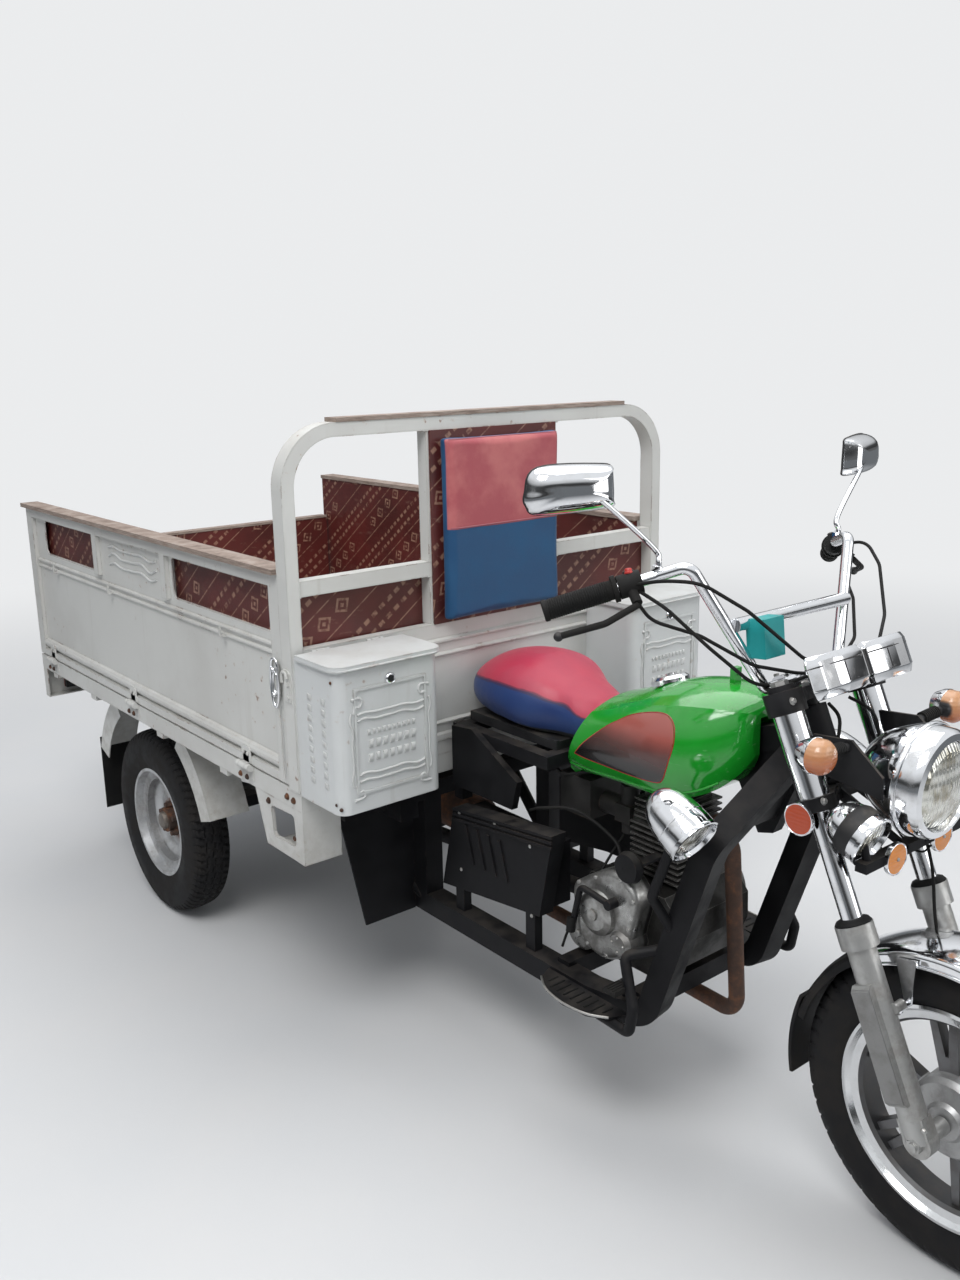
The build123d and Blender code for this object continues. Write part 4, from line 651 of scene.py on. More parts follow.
# -------------------------------------------------------------- added pieces
def smoothed(corners, steps):
    """Curve through the corners, a few points to each run."""
    line = []
    ends = [corners[0]] + list(corners) + [corners[-1]]
    for before, start, stop, after in zip(ends, ends[1:], ends[2:], ends[3:]):
        for k in range(steps):
            t = k / steps
            line.append(0.5 * (
                2 * start + (stop - before) * t + (2 * before - 5 * start + 4 * stop - after) * t ** 2
                + (3 * start - before - 3 * stop + after) * t ** 3
            ))
    return line + [corners[-1]]


def arc_points(place, axis, radius, start=0.0, stop=360.0, count=24, first=None):
    """Points of an arc about an axis, in degrees."""
    along = Vector(axis).normalized()
    across = Vector(first).normalized() if first else along.orthogonal().normalized()
    third = along.cross(across)
    turned = []
    for k in range(count + 1):
        angle = math.radians(start + (stop - start) * k / count)
        turned.append(place + (across * math.cos(angle) + third * math.sin(angle)) * radius)
    return turned


class Piece:
    """Like small forms on one body, gathered into one object."""

    def __init__(self, name, body, finish, slot=None):
        self.name = name
        self.body = body
        self.finish = finish
        self.slot = slot
        self.points = []
        self.faces = []

    def add(self, points, faces):
        first = len(self.points)
        self.points.extend(tuple(p) for p in points)
        self.faces.extend(tuple(first + i for i in face) for face in faces)

    def rings(self, loops, closed=False, capped=True):
        """Skin over loops of equally many points."""
        count = len(loops[0])
        points = [p for loop in loops for p in loop]
        faces = []
        last = len(loops) if closed else len(loops) - 1
        for j in range(last):
            a = j * count
            b = (j + 1) % len(loops) * count
            for k in range(count):
                n = (k + 1) % count
                faces.append((a + k, a + n, b + n, b + k))
        if capped and not closed:
            faces.append(tuple(range(count)))
            faces.append(tuple(range(len(points) - count, len(points))))
        self.add(points, faces)

    def lathe(self, profile, place, axis, segments=20):
        """Turned form; the profile is (radius, along) in millimetres."""
        along = Vector(axis).normalized()
        loops = []
        for radius, step in profile:
            middle = place + along * step / 1000
            loops.append(arc_points(middle, along, max(radius, 0.02) / 1000, 0, 360, segments)[:-1])
        self.rings(loops)

    def tube(self, corners, radius, steps=0, segments=10, closed=False):
        """Round bar or wire through the corners, radius in millimetres."""
        line = smoothed(corners, steps) if steps else [Vector(p) for p in corners]
        if closed:
            line = line[:-1] if (line[0] - line[-1]).length < 1e-6 else line
        loops = []
        across = None
        for k, place in enumerate(line):
            if closed:
                run = line[(k + 1) % len(line)] - line[k - 1]
            else:
                run = line[min(k + 1, len(line) - 1)] - line[max(k - 1, 0)]
            run.normalize()
            across = run.orthogonal() if across is None else across - run * across.dot(run)
            across.normalize()
            third = run.cross(across)
            loop = []
            for j in range(segments):
                angle = 2 * math.pi * j / segments
                loop.append(place + (across * math.cos(angle) + third * math.sin(angle)) * radius / 1000)
            loops.append(loop)
        self.rings(loops, closed)

    def slab(self, outline, place, x_dir, y_dir, thick, crown=0.0):
        """Plate with a bevelled face; outline in millimetres in the two directions."""
        x_dir = Vector(x_dir).normalized()
        y_dir = Vector(y_dir).normalized()
        out = x_dir.cross(y_dir)
        middle_x = sum(x for x, y in outline) / len(outline)
        middle_y = sum(y for x, y in outline) / len(outline)
        loops = []
        for height, shrink in ((0, 0), (thick - crown, 0), (thick, crown)):
            loop = []
            for x, y in outline:
                away = math.hypot(x - middle_x, y - middle_y) or 1.0
                inward = shrink / away
                x1 = x + (middle_x - x) * inward
                y1 = y + (middle_y - y) * inward
                loop.append(place + (x_dir * x1 + y_dir * y1 + out * height) / 1000)
            loops.append(loop)
        self.rings(loops)

    def bolt(self, place, axis, size=7.0, high=5.0):
        """Washer and six sided head."""
        self.lathe([(size * 1.3, 0), (size * 1.3, 1.2), (size * 1.1, 1.4)], place, axis, 16)
        head = [(size, 1.2), (size, high * 0.8), (size * 0.8, high), (size * 0.3, high)]
        self.lathe(head, place, axis, 6)

    def screw(self, place, axis, size=4.0):
        """Domed round head."""
        self.lathe([(size, 0), (size, 1.0), (size * 0.7, 2.2), (size * 0.2, 2.4)], place, axis, 14)

    def done(self, sharp=38.0):
        mesh = bpy.data.meshes.new(self.name)
        mesh.from_pydata(self.points, [], self.faces)
        tidy = bmesh.new()
        tidy.from_mesh(mesh)
        bmesh.ops.recalc_face_normals(tidy, faces=tidy.faces)
        tidy.to_mesh(mesh)
        tidy.free()
        mesh.shade_smooth()
        mesh.set_sharp_from_angle(angle=math.radians(sharp))
        obj = bpy.data.objects.new(self.name, mesh)
        bpy.context.scene.collection.objects.link(obj)
        mesh.materials.append(self.finish)
        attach(obj, self.body)
        return obj


def world_tree(node):
    """Ray casting tree of a CAD node at rest."""
    obj = nodes[node]
    mesh = obj.data
    points = [obj.matrix_world @ v.co for v in mesh.vertices]
    return BVHTree.FromPolygons(points, [tuple(p.vertices) for p in mesh.polygons])


def mirrored(outline):
    return [(x, -y) for x, y in outline]


BLACK = finishes["black_frame"]
CHROME = finishes["chrome"]
WHITE = finishes["white_paint"]
RUBBER = finishes["rubber"]
STEEL = cast_metal("bright_steel", (0.45, 0.45, 0.44), 0.30, 200.0, 0.5)
RUSTY_BOLT = rusty_iron("rusty_bolt", (0.060, 0.036, 0.027))
MATT_BLACK = plastic("matt_black", (0.006, 0.006, 0.007), 0.55, dust=0.2)
OUTWARD = Vector((0, -1, 0))


# Tyres: the smooth CAD forms are replaced by the same sections with a cut tread
def cubic_section(section, count):
    """Evenly spaced points along a section of (radius, across) in millimetres."""
    line = smoothed([Vector((r, y, 0)) for r, y in section], 12)
    lengths = [0.0]
    for a, b in zip(line, line[1:]):
        lengths.append(lengths[-1] + (b - a).length)
    out = []
    j = 0
    for k in range(count):
        want = lengths[-1] * k / (count - 1)
        while j < len(line) - 2 and lengths[j + 1] < want:
            j += 1
        share = (want - lengths[j]) / (lengths[j + 1] - lengths[j])
        place = line[j].lerp(line[j + 1], min(share, 1.0))
        out.append((place.x, place.y))
    return out


def groove(value, middle, half):
    """1 inside a groove, sloping to 0 at its sides."""
    return max(0.0, min(1.0, (half - abs(value - middle)) / 0.8))


def road_tread(angle, y):
    """Depth of the rear tyre's pattern: three wavy grooves and shoulder slots."""
    turn = math.degrees(angle)
    wave = 2.2 * (abs((turn / 5.0) % 2 - 1) * 2 - 1)
    depth = max(groove(y, c + wave, 2.4) for c in (-24.0, 0.0, 24.0))
    slot = (turn / 5.0 + y * 0.02) % 1.0
    if abs(y) > 31:
        depth = max(depth, 1.0 if 0.38 < slot < 0.60 else 0.0)
    elif 6 < abs(y) < 18:
        depth = max(depth, 0.6 if 0.46 < slot < 0.56 else 0.0)
    return 5.5 * depth


def cycle_tread(angle, y):
    """Depth of the front tyre's pattern: two grooves and slanting shoulder cuts."""
    turn = math.degrees(angle)
    wave = 1.4 * math.sin(math.radians(turn * 60))
    depth = max(groove(y, c + wave, 1.7) for c in (-9.0, 9.0))
    slot = (turn / 6.0 + abs(y) * 0.028) % 1.0
    if abs(y) > 15:
        depth = max(depth, 1.0 if 0.36 < slot < 0.58 else 0.0)
    return 4.5 * depth


def treaded(name, node, body, section, tread, edge_r, middle):
    """Tyre as a grid turned about its axle, its crown cut by the tread."""
    around = 432
    profile = cubic_section(section, 66)
    loops = []
    for k in range(around):
        angle = 2 * math.pi * k / around
        loop = []
        for r, y in profile:
            cut = tread(angle, y) * max(0.0, min(1.0, (r - edge_r) / 4.0))
            ring = 0.5 * max(0.0, math.sin(r * 0.55)) if r < edge_r - 6 else 0.0
            radius = (r - cut - ring * 0.4) / 1000
            side = y / 1000 * (1 - ring * 0.012)
            loop.append(middle + Vector((radius * math.cos(angle), side, radius * math.sin(angle))))
        loops.append(loop)
    piece = Piece(name, body, finishes["tyre"], "tyre")
    piece.rings(loops, closed=True)
    obj = piece.done(30.0)
    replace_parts(obj, node)
    return obj


REAR_SECTION = [
    (153, -46), (160, -50), (176, -54), (200, -58.5), (222, -58), (245, -55), (259, -50), (267, -40),
    (270.5, -22), (271.8, 0), (270.5, 22), (267, 40), (259, 50), (245, 55), (222, 58), (200, 58.5),
    (176, 54), (160, 50), (153, 46),
]
FRONT_SECTION = [
    (197, -31), (199, -34), (206, -37), (224, -44), (246, -46.6), (264, -43.5), (277, -37.5), (287, -28),
    (293.4, -14), (295.7, 0), (293.4, 14), (287, 28), (277, 37.5), (264, 43.5), (246, 46.6), (224, 44),
    (206, 37), (199, 34), (197, 31),
]
for side, word in ((-1, "right"), (1, "left")):
    treaded(
        "tread_" + word, "rear_tyre_" + word, "rear_wheel_" + word,
        REAR_SECTION, road_tread, 250.0, at(-977, side * 445, 272),
    )
treaded("tread_front", "front_tyre", "front_wheel", FRONT_SECTION, cycle_tread, 262.0, AXLE)

# Wheel nuts, centre caps and valves
cap_metal = cast_metal("cap_metal", (0.20, 0.18, 0.16), 0.45, 140.0, 0.8, (0.07, 0.045, 0.033))
for side, word in ((-1, "right"), (1, "left")):
    out = Vector((0, side, 0))
    nuts = Piece("nuts_" + word, "rear_wheel_" + word, RUSTY_BOLT, "rusty_iron")
    for k in range(5):
        angle = math.radians(72 * k + 20)
        place = at(-977 + 44 * math.cos(angle), side * 449, 272 + 44 * math.sin(angle))
        nuts.lathe([(10.5, 0), (10.5, 2), (9.6, 3), (9.6, 10), (8, 12), (6, 12)], place, out, 6)
    nuts.done()
    cap = Piece("axle_cap_" + word, "rear_wheel_" + word, cap_metal, "cast_alloy")
    cap.lathe([(26, 0), (25.5, 7), (22, 12), (10, 14), (0, 14.5)], at(-977, side * 470, 272), out, 36)
    cap.done()
    valve = Piece("valve_" + word, "rear_wheel_" + word, MATT_BLACK, "rubber")
    valve.lathe([(6, 0), (5, 8), (3.6, 22), (3.6, 30), (2, 31)], at(-977 + 128, side * 452, 300), out + Vector((0.3, 0, 0.1)))
    valve.done()

# Gate hinges, sill and bracket bolts and the front latches
SIDE_HINGE_X = (-244, -897.5, -1524)
for side, word in ((-1, "right"), (1, "left")):
    out = Vector((0, side, 0))
    bolts = Piece("sill_bolts_" + word, "chassis", RUSTY_BOLT, "rusty_iron")
    for x in SIDE_HINGE_X:
        for step in (-17, 15):
            bolts.bolt(at(x + step, side * 570, 644), out, 5.6, 5.0)
    for x, z in ((-62, 642), (-34, 640), (-150, 606)):
        bolts.bolt(at(x, side * 560, z), out, 6.2, 5.5)
    bolts.bolt(at(-40, side * 560, 548), out, 4.6, 3.5)
    bolts.done()
    plates = Piece("hinge_straps_" + word, "gate_" + word, WHITE, "white_paint")
    for x in SIDE_HINGE_X:
        strap = [(-24, 0), (24, 0), (20, 34), (8, 42), (-8, 42), (-20, 34)]
        strap = strap if side < 0 else [(a, b) for a, b in reversed(strap)]
        plates.slab(strap, at(x, side * 560, 676), (1, 0, 0), (0, 0, 1), 3.0 if side < 0 else -3.0, 0.6)
        plates.bolt(at(x - 10, side * 563, 698), out, 4.2, 3.6)
        plates.bolt(at(x + 10, side * 563, 698), out, 4.2, 3.6)
    plates.done()
    # Latch: keeper and wire loop on the gate, hook plate on the upright
    y = side * 563
    keeper = Piece("latch_keeper_" + word, "gate_" + word, WHITE, "white_paint")
    plate = [(-16, -46), (12, -46), (16, -26), (16, 26), (7, 44), (-11, 44), (-16, 24)]
    keeper.slab(plate, at(-72, y, 912), (1, 0, 0), (0, 0, 1), 4.0 if side < 0 else -4.0, 0.8)
    keeper.done()
    loop = Piece("latch_loop_" + word, "gate_" + word, CHROME, "chrome")
    ring = [(-62, 962), (-51, 953), (-49, 918), (-51, 876), (-62, 852), (-76, 866), (-82, 908), (-76, 952), (-62, 962)]
    loop.tube([at(a, y + side * 9, b) for a, b in ring], 3.3, 5, 10, True)
    inner = [(-66, 930), (-58, 922), (-57, 896), (-64, 882), (-73, 892), (-74, 918), (-66, 930)]
    loop.tube([at(a, y + side * 7, b) for a, b in inner], 2.4, 5, 10, True)
    loop.lathe([(7, 0), (7, 9), (5, 12)], at(-72, y, 934), out, 18)
    loop.lathe([(6, 0), (6, 9), (4, 12)], at(-70, y, 878), out, 18)
    loop.done()
    strap = Piece("latch_strap_" + word, "gate_" + word, WHITE, "white_paint")
    drop = [(-62, 870), (-60, 830), (-56, 790), (-58, 742), (-54, 690)]
    strap.tube([at(a, y + side * 5, b) for a, b in drop], 2.4, 5, 8)
    strap.done()
    hook = Piece("latch_hook_" + word, "chassis", WHITE, "white_paint")
    plate = [(-13, -34), (13, -34), (13, 30), (4, 38), (-13, 38)]
    hook.slab(plate, at(-20, side * 565, 905), (1, 0, 0), (0, 0, 1), 3.5 if side < 0 else -3.5, 0.6)
    bend = [(-12, 926), (-16, 936), (-26, 940), (-33, 932), (-33, 914)]
    hook.tube([at(a, side * 572, b) for a, b in bend], 3.4, 5, 8)
    hook.bolt(at(-14, side * 568, 884), out, 4.6, 4.0)
    hook.bolt(at(-14, side * 568, 912), out, 4.6, 4.0)
    hook.done()

# Tailgate latches and its bolts
for side, word in ((-1, "right"), (1, "left")):
    bolt = Piece("tail_latch_" + word, "tailgate", STEEL, "chrome")
    y = side * 486
    bolt.slab(
        [(-16, -14), (16, -14), (16, 14), (-16, 14)], at(-1645, y, 950), (0, -1, 0), (0, 0, 1), 3.0, 0.6,
    )
    bolt.tube([at(-1652, y - 14, 950), at(-1652, y + 14, 950)], 4.0)
    bolt.tube([at(-1652, y, 950), at(-1658, y, 944), at(-1659, y, 926)], 3.0, 4)
    bolt.done()
tail_bolts = Piece("skirt_bolts", "chassis", RUSTY_BOLT, "rusty_iron")
for y in (-380, 0, 380):
    for step in (-16, 16):
        tail_bolts.bolt(at(-1655, y + step, 644), (-1, 0, 0), 5.4, 4.6)
tail_bolts.done()

# Toolboxes: raised borders and bars on the front and side, lock, lid beads
FRONT_Y = (-545.0, -312.0)


def wave_line(start, stop, z, rise, beats, count=28):
    line = []
    for k in range(count + 1):
        t = k / count
        line.append((start + (stop - start) * t, z + rise * math.sin(math.pi * 2 * beats * t) * (0.5 + 0.5 * math.cos(7 * t))))
    return line


box_paint = weathered_paint("box_paint", (0.61, 0.625, 0.62), (0.55, 0.56, 0.55), 0.34, 0.4, 0.70, 0.2, 0.7)
relief_paint = weathered_paint("relief_paint", (0.60, 0.61, 0.60), (0.55, 0.56, 0.55), 0.36, 0.0, 0.0, 0.1, 0.0)
for node in ("toolbox_right", "toolbox_left", "toolbox_lid_right", "toolbox_lid_left"):
    for slot in nodes[node].material_slots:
        slot.material = box_paint
for side, word in ((-1, "right"), (1, "left")):
    relief = Piece("box_relief_" + word, "chassis", relief_paint, "white_paint")
    middle = side * 428.5
    for z in (728, 742, 860, 874):
        line = wave_line(-84, 84, z, 5.0 if z in (742, 860) else 3.0, 2.0)
        relief.tube([at(165.6, middle + a, b) for a, b in line], 3.0, 0, 8)
    for sy in (-1, 1):
        for sz, z in ((-1, 690), (1, 908)):
            hook = [(-6, 0), (14, 2), (20, -8 * sz), (14, -18 * sz), (4, -16 * sz), (0, -30 * sz)]
            relief.tube([at(165.6, middle + sy * (92 - a), z + b) for a, b in hook], 3.2, 5, 8)
        edge = wave_line(720, 880, 0, 4.0, 2.5)
        relief.tube([at(165.6, middle + sy * (98 + b), a) for a, b in edge], 2.6, 0, 8)
    for row, (z, high) in enumerate(((776, 17), (806, 17), (832, 11))):
        count = 7 if row < 2 else 10
        for k in range(count):
            wide = 126 / count
            y = middle - 63 + wide * (k + 0.5)
            lean = 3.0 if row == 1 else 0.0
            bar = [(-wide * 0.3, -high / 2), (wide * 0.3, -high / 2), (wide * 0.3 + lean, high / 2), (-wide * 0.3 + lean, high / 2)]
            relief.slab(bar, at(165, y, z), (0, 1, 0), (0, 0, 1), 2.4, 1.4)
    for column, x in enumerate((58, 112)):
        for k in range(9):
            z = 716 + 23 * k
            bar = [(-7, -6), (7, -8), (7, 5), (-7, 7)]
            bar = bar if side < 0 else list(reversed(bar))
            relief.slab(bar, at(x, side * 560, z), (1, 0, 0), (0, 0, 1), 1.8 * -side, 1.0)
    relief.done(60.0)
    lock = Piece("box_lock_" + word, "chassis", CHROME, "chrome")
    lock.lathe([(13, 0), (13, 3), (11, 6), (9.5, 7), (9.5, 5.4), (8.8, 5.2), (0, 5.2)], at(165, middle, 938), (1, 0, 0), 28)
    lock.done()
    # Black disc on the lock's face; the raised black slot on it is painted keyhole shade.
    keyway = Piece("box_keyway_" + word, "chassis", MATT_BLACK, "black_plastic")
    keyway.lathe([(7.4, 0), (7.4, 0.8), (0, 0.9)], at(170.0, middle, 938), (1, 0, 0), 24)
    keyway.slab([(-1.2, -4.5), (1.2, -4.5), (1.2, 4.5), (-1.2, 4.5)], at(170.6, middle, 938), (0, 1, 0), (0, 0, 1), 0.6, 0.1)
    keyway.done()
    bead = Piece("lid_bead_" + word, "lid_" + word, box_paint, "white_paint")
    low, high_y = middle - 137.5, middle + 137.5
    edge = [at(20, low, 974), at(138, low, 974)]
    corner_1 = arc_points(at(141, low + 32, 974), (0, 0, 1), 0.032, -90, 0, 6, (1, 0, 0))
    corner_2 = arc_points(at(141, high_y - 32, 974), (0, 0, 1), 0.032, 0, 90, 6, (1, 0, 0))
    edge += corner_1 + corner_2 + [at(138, high_y, 974), at(20, high_y, 974)]
    bead.tube(edge, 2.4, 0, 8)
    bead.done(60.0)
    rivets = Piece("box_rivets_" + word, "chassis", RUSTY_BOLT, "rusty_iron")
    for z in (684, 948):
        rivets.screw(at(146, side * 560, z), (0, side, 0), 3.6)
    rivets.screw(at(158, side * 556, 676), (0.7, 0.7 * side, 0), 4.4)
    rivets.done()

# Raised plain waves on the panel between the side gate's windows
for side, word in ((-1, "right"), (1, "left")):
    crest = Piece("gate_relief_" + word, "gate_" + word, relief_paint, "white_paint")
    y = side * 548.6
    for z, rise in ((1040, 9.0), (1064, 12.0), (1088, 7.0)):
        line = wave_line(-1010, -700, z, rise, 2.0, 40)
        crest.tube([at(a, y, b) for a, b in line], 3.4, 0, 8)
    crest.done(60.0)

# Tank: side panels with their outline, seam flange and the cap's lock
PANEL = [
    (401, 763), (430, 792), (465, 821), (500, 848), (527, 865), (560, 884), (600, 899), (643, 909),
    (668, 907), (685, 895), (692, 876), (693, 856), (687, 830), (677, 800), (668, 783), (655, 774),
    (620, 770), (560, 767), (500, 765), (440, 763),
]
tank_tree = world_tree("fuel_tank")
panel_red_finish = panel_red("panel_red")
line_red = plastic("line_red", (0.36, 0.022, 0.016), 0.2)


def on_tank(x, z, side, lift):
    """Point on the tank's side above (x, z), in millimetres."""
    start = at(x, side * 400, z)
    hit, normal, index, distance = tank_tree.ray_cast(start, Vector((0, -side, 0)))
    if hit is None:
        return at(x, side * 100, z)
    if normal.y * side < 0:
        normal = -normal
    return hit + normal * lift / 1000


def closed_line(outline, steps):
    line = smoothed([Vector((x, z, 0)) for x, z in outline + outline[:1]], steps)
    return [(p.x, p.y) for p in line[:-1]]


for side, word in ((-1, "right"), (1, "left")):
    outline = closed_line(PANEL, 5)
    middle_x = sum(x for x, z in outline) / len(outline)
    middle_z = sum(z for x, z in outline) / len(outline)
    inner = []
    for share in (0.001, 0.15, 0.3, 0.45, 0.6, 0.72, 0.83, 0.92, 0.985):
        inner.append([
            on_tank(middle_x + (x - middle_x) * share, middle_z + (z - middle_z) * share, side, 0.8)
            for x, z in outline
        ])
    panel = Piece("tank_panel_" + word, "chassis", panel_red_finish, "red_plastic")
    panel.rings(inner, capped=False)
    panel.done(80.0)
    edge = Piece("tank_line_" + word, "chassis", line_red, "red_plastic")
    edge.tube([on_tank(x, z, side, 0.1) for x, z in outline], 1.3, 0, 6, True)
    edge.done(80.0)
    flange = Piece("tank_seam_" + word, "chassis", finishes["green_paint"], "green_paint")
    flange_line = [(372, 726), (430, 730), (500, 736), (560, 741), (620, 746), (680, 753), (730, 768), (768, 790)]
    flange_run = smoothed([Vector((x, z, 0)) for x, z in flange_line], 4)
    flange.tube([on_tank(p.x, p.y + 4, side, 0.2) for p in flange_run], 2.6, 0, 8)
    flange.done(80.0)
cap_up = Vector((-0.33, 0, 1)).normalized()
cap_lock = Piece("cap_lock", "chassis", CHROME, "chrome")
cap_lock.lathe([(34, 12.9), (34.5, 14.2), (32, 15.0)], at(562, 0, 925), cap_up, 40)
cap_lock.lathe([(10, 20.6), (10, 23.2), (8, 23.8), (0, 23.8)], at(562, 0, 925), cap_up, 24)
cap_lock.done()
# Painted shade: a black slab on the cap's lock stands for the keyhole's shade.
cap_slit = Piece("cap_slit", "chassis", MATT_BLACK, "black_plastic")
cap_slit.slab([(-1.0, -4.5), (1.0, -4.5), (1.0, 4.5), (-1.0, 4.5)], at(562, 0, 925) + cap_up * 0.0236, (1, 0, 0.33), (0, 1, 0), 0.5, 0.1)
cap_slit.done()

# Seat and backrest pad: closed covers swollen with cloth simulation
def saddle(place):
    """Waist and dip of the seat towards the tank, in metres."""
    x = (place.x - FRONT_FACE) * 1000
    waist = math.exp(-((x - 315) / 62) ** 2)
    rear = max(0.0, min(1.0, (150 - x) / 140))
    place.y *= 1 - 0.20 * waist
    lift = max(0.0, (place.z - 0.80) / 0.12)
    place.z -= (0.020 * math.exp(-((x - 290) / 60) ** 2) + 0.012 * rear * rear * 0.5) * lift


def stuffed(name, node, finish, shrink, cap, shape=None):
    """Soft copy of a CAD solid: remeshed, swollen a little and smoothed."""
    source = nodes[node]
    mesh = source.data.copy()
    mesh.name = name
    obj = bpy.data.objects.new(name, mesh)
    obj.matrix_world = source.matrix_world.copy()
    bpy.context.scene.collection.objects.link(obj)
    mesh.transform(obj.matrix_world)
    obj.matrix_world = Matrix.Identity(4)
    low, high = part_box(node)
    middle = (low + high) / 2
    for v in mesh.vertices:
        for k in range(3):
            half = (high[k] - low[k]) / 2
            v.co[k] = middle[k] + (v.co[k] - middle[k]) * (half - shrink[k] / 1000) / half
    bpy.context.view_layer.objects.active = obj
    for other in bpy.context.selected_objects:
        other.select_set(False)
    obj.select_set(True)
    remesh = obj.modifiers.new("remesh", "REMESH")
    remesh.mode = "VOXEL"
    remesh.voxel_size = 0.0055
    bpy.ops.object.modifier_apply(modifier=remesh.name)
    if shape:
        for v in obj.data.vertices:
            shape(v.co)
    start = [v.co.copy() for v in obj.data.vertices]
    swell = obj.modifiers.new("swell", "CLOTH")
    swell.settings.use_pressure = True
    swell.settings.uniform_pressure_force = 4.0
    swell.settings.effector_weights.gravity = 0.0
    swell.settings.quality = 5
    scene = bpy.context.scene
    for step in range(1, 21):
        scene.frame_set(step)
    seen = obj.evaluated_get(bpy.context.evaluated_depsgraph_get())
    moved = [v.co.copy() for v in seen.data.vertices]
    obj.modifiers.remove(swell)
    scene.frame_set(1)
    for v, a, b in zip(obj.data.vertices, start, moved):
        step = b - a
        reach = step.length
        v.co = a + (step * (cap / 1000 / reach) if reach > cap / 1000 else step)
    smooth = obj.modifiers.new("smooth", "CORRECTIVE_SMOOTH")
    smooth.iterations = 8
    smooth.use_only_smooth = True
    bpy.ops.object.modifier_apply(modifier=smooth.name)
    for v in obj.data.vertices:
        for k in range(3):
            v.co[k] = min(max(v.co[k], low[k] + 0.0004), high[k] - 0.0004)
    finer = obj.modifiers.new("finer", "SUBSURF")
    finer.levels = 1
    finer.render_levels = 1
    bpy.ops.object.modifier_apply(modifier=finer.name)
    obj.data.shade_smooth()
    obj.data.materials.clear()
    obj.data.materials.append(finish)
    obj.select_set(False)
    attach(obj, "chassis")
    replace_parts(obj, node)
    return obj


seat = stuffed("seat_cushion", "rider_seat", finishes["seat_cover"], (5, 5, 4), 7, saddle)
pad = stuffed("backrest_cushion", "backrest_pad", finishes["pad_cover"], (6, 4, 4), 9)


def surface_line(obj, starts, direction, lift):
    """Points where rays meet a soft piece, raised a little off it."""
    tree = BVHTree.FromPolygons([v.co.copy() for v in obj.data.vertices], [tuple(p.vertices) for p in obj.data.polygons])
    line = []
    for start in starts:
        hit, normal, index, distance = tree.ray_cast(start, Vector(direction))
        if hit is not None:
            line.append(hit - Vector(direction).normalized() * lift / 1000)
    return line


# Stitched hem of the rose sheet on the pad
stitch = plastic("stitch_thread", (0.30, 0.10, 0.12), 0.7)
hem = Piece("pad_sheet_hem", "chassis", stitch, "pad_cover")
for y0, z0, y1, z1 in ((-170, 1208, 170, 1208), (-170, 1405, 170, 1405), (-170, 1208, -170, 1405), (170, 1208, 170, 1405)):
    starts = [at(90, y0 + (y1 - y0) * k / 40, z0 + (z1 - z0) * k / 40) for k in range(41)]
    line = surface_line(pad, starts, (-1, 0, 0), 0.2)
    if len(line) > 3:
        hem.tube(line, 1.5, 0, 6)
hem.done(80.0)

# Lamps and mirrors with smooth shells in place of the plain turned solids
def soft_profile(corners, steps=6):
    """Profile with its corners rounded by a curve, as (radius, along) pairs."""
    widest = max(r for r, t in corners)
    line = smoothed([Vector((r, t, 0)) for r, t in corners], steps)
    return [(min(max(p.x, 0.0), widest), p.y) for p in line]


def bullet(radius, length):
    """Bullet shaped lamp shell, its mouth at the far end."""
    back = soft_profile([
        (0, 0), (0.38 * radius, 0.03 * length), (0.74 * radius, 0.19 * length),
        (0.93 * radius, 0.46 * length), (radius, 0.80 * length), (radius, 0.97 * length),
    ])
    return back + [(radius, length), (radius - 3, length), (radius - 6, length - 12), (0, length - 12)]


GUARD_LINE = Vector((0.851, 0, -0.525)).normalized()
SPOT_LINE = Vector((0.93, 0, -0.37)).normalized()
HEAD_LINE = Vector((1, 0, -0.04)).normalized()
shells = Piece("guard_shells", "chassis", CHROME, "chrome")
for side in (-1, 1):
    shells.lathe(bullet(50.8, 117), at(745, side * 250, 805), GUARD_LINE, 64)
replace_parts(shells.done(), "guard_lamps")
spots = Piece("spot_shells", "steering", CHROME, "chrome")
for side in (-1, 1):
    spots.lathe(bullet(45.8, 84), at(1040, side * 131, 830), SPOT_LINE, 60)
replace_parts(spots.done(), "spot_lamps")
bracket = Piece("spot_bracket", "steering", BLACK, "black_frame")
bar_end = [(1100, 748), (1122, 748), (1122, 766), (1100, 766)]
bracket.slab(bar_end, at(0, 150, 0), (1, 0, 0), (0, 0, 1), 300, 1.0)
for side in (-1, 1):
    strap = [(976, 812), (1122, 753), (1122, 766), (976, 836)]
    bracket.slab(strap, at(0, side * 28 + 3, 0), (1, 0, 0), (0, 0, 1), 6, 0.8)
    bracket.tube([at(1100, side * 131, 800), at(1110, side * 131, 764)], 7.0, 0, 14)
    bracket.bolt(at(1111, side * 131, 748), (0, 0, -1), 6.0, 6.0)
    bracket.bolt(at(1111, side * 28, 748), (0, 0, -1), 5.0, 5.0)
bracket.done()
head = Piece("headlamp_shell", "steering", CHROME, "chrome")
back = soft_profile([(0, 0), (30, 4), (66, 34), (90, 80), (97, 104)])
rim = [(99.6, 106), (99.6, 112), (97, 114), (97, 136), (95, 144), (91, 150), (80, 152.6), (76, 140), (0, 136)]
head.lathe(back + rim, at(1018, 0, 884), HEAD_LINE, 96)
head.tube([at(1100, -98, 882), at(1100, 98, 882)], 9.0, 0, 20)
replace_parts(head.done(), "headlamp")
signals = Piece("signal_balls", "steering", finishes["amber_plastic"], "amber_plastic")
disc = [(0, 0), (27.6, 0), (28, 1.5), (28, 6.5), (26, 8.4), (0, 9.8)]
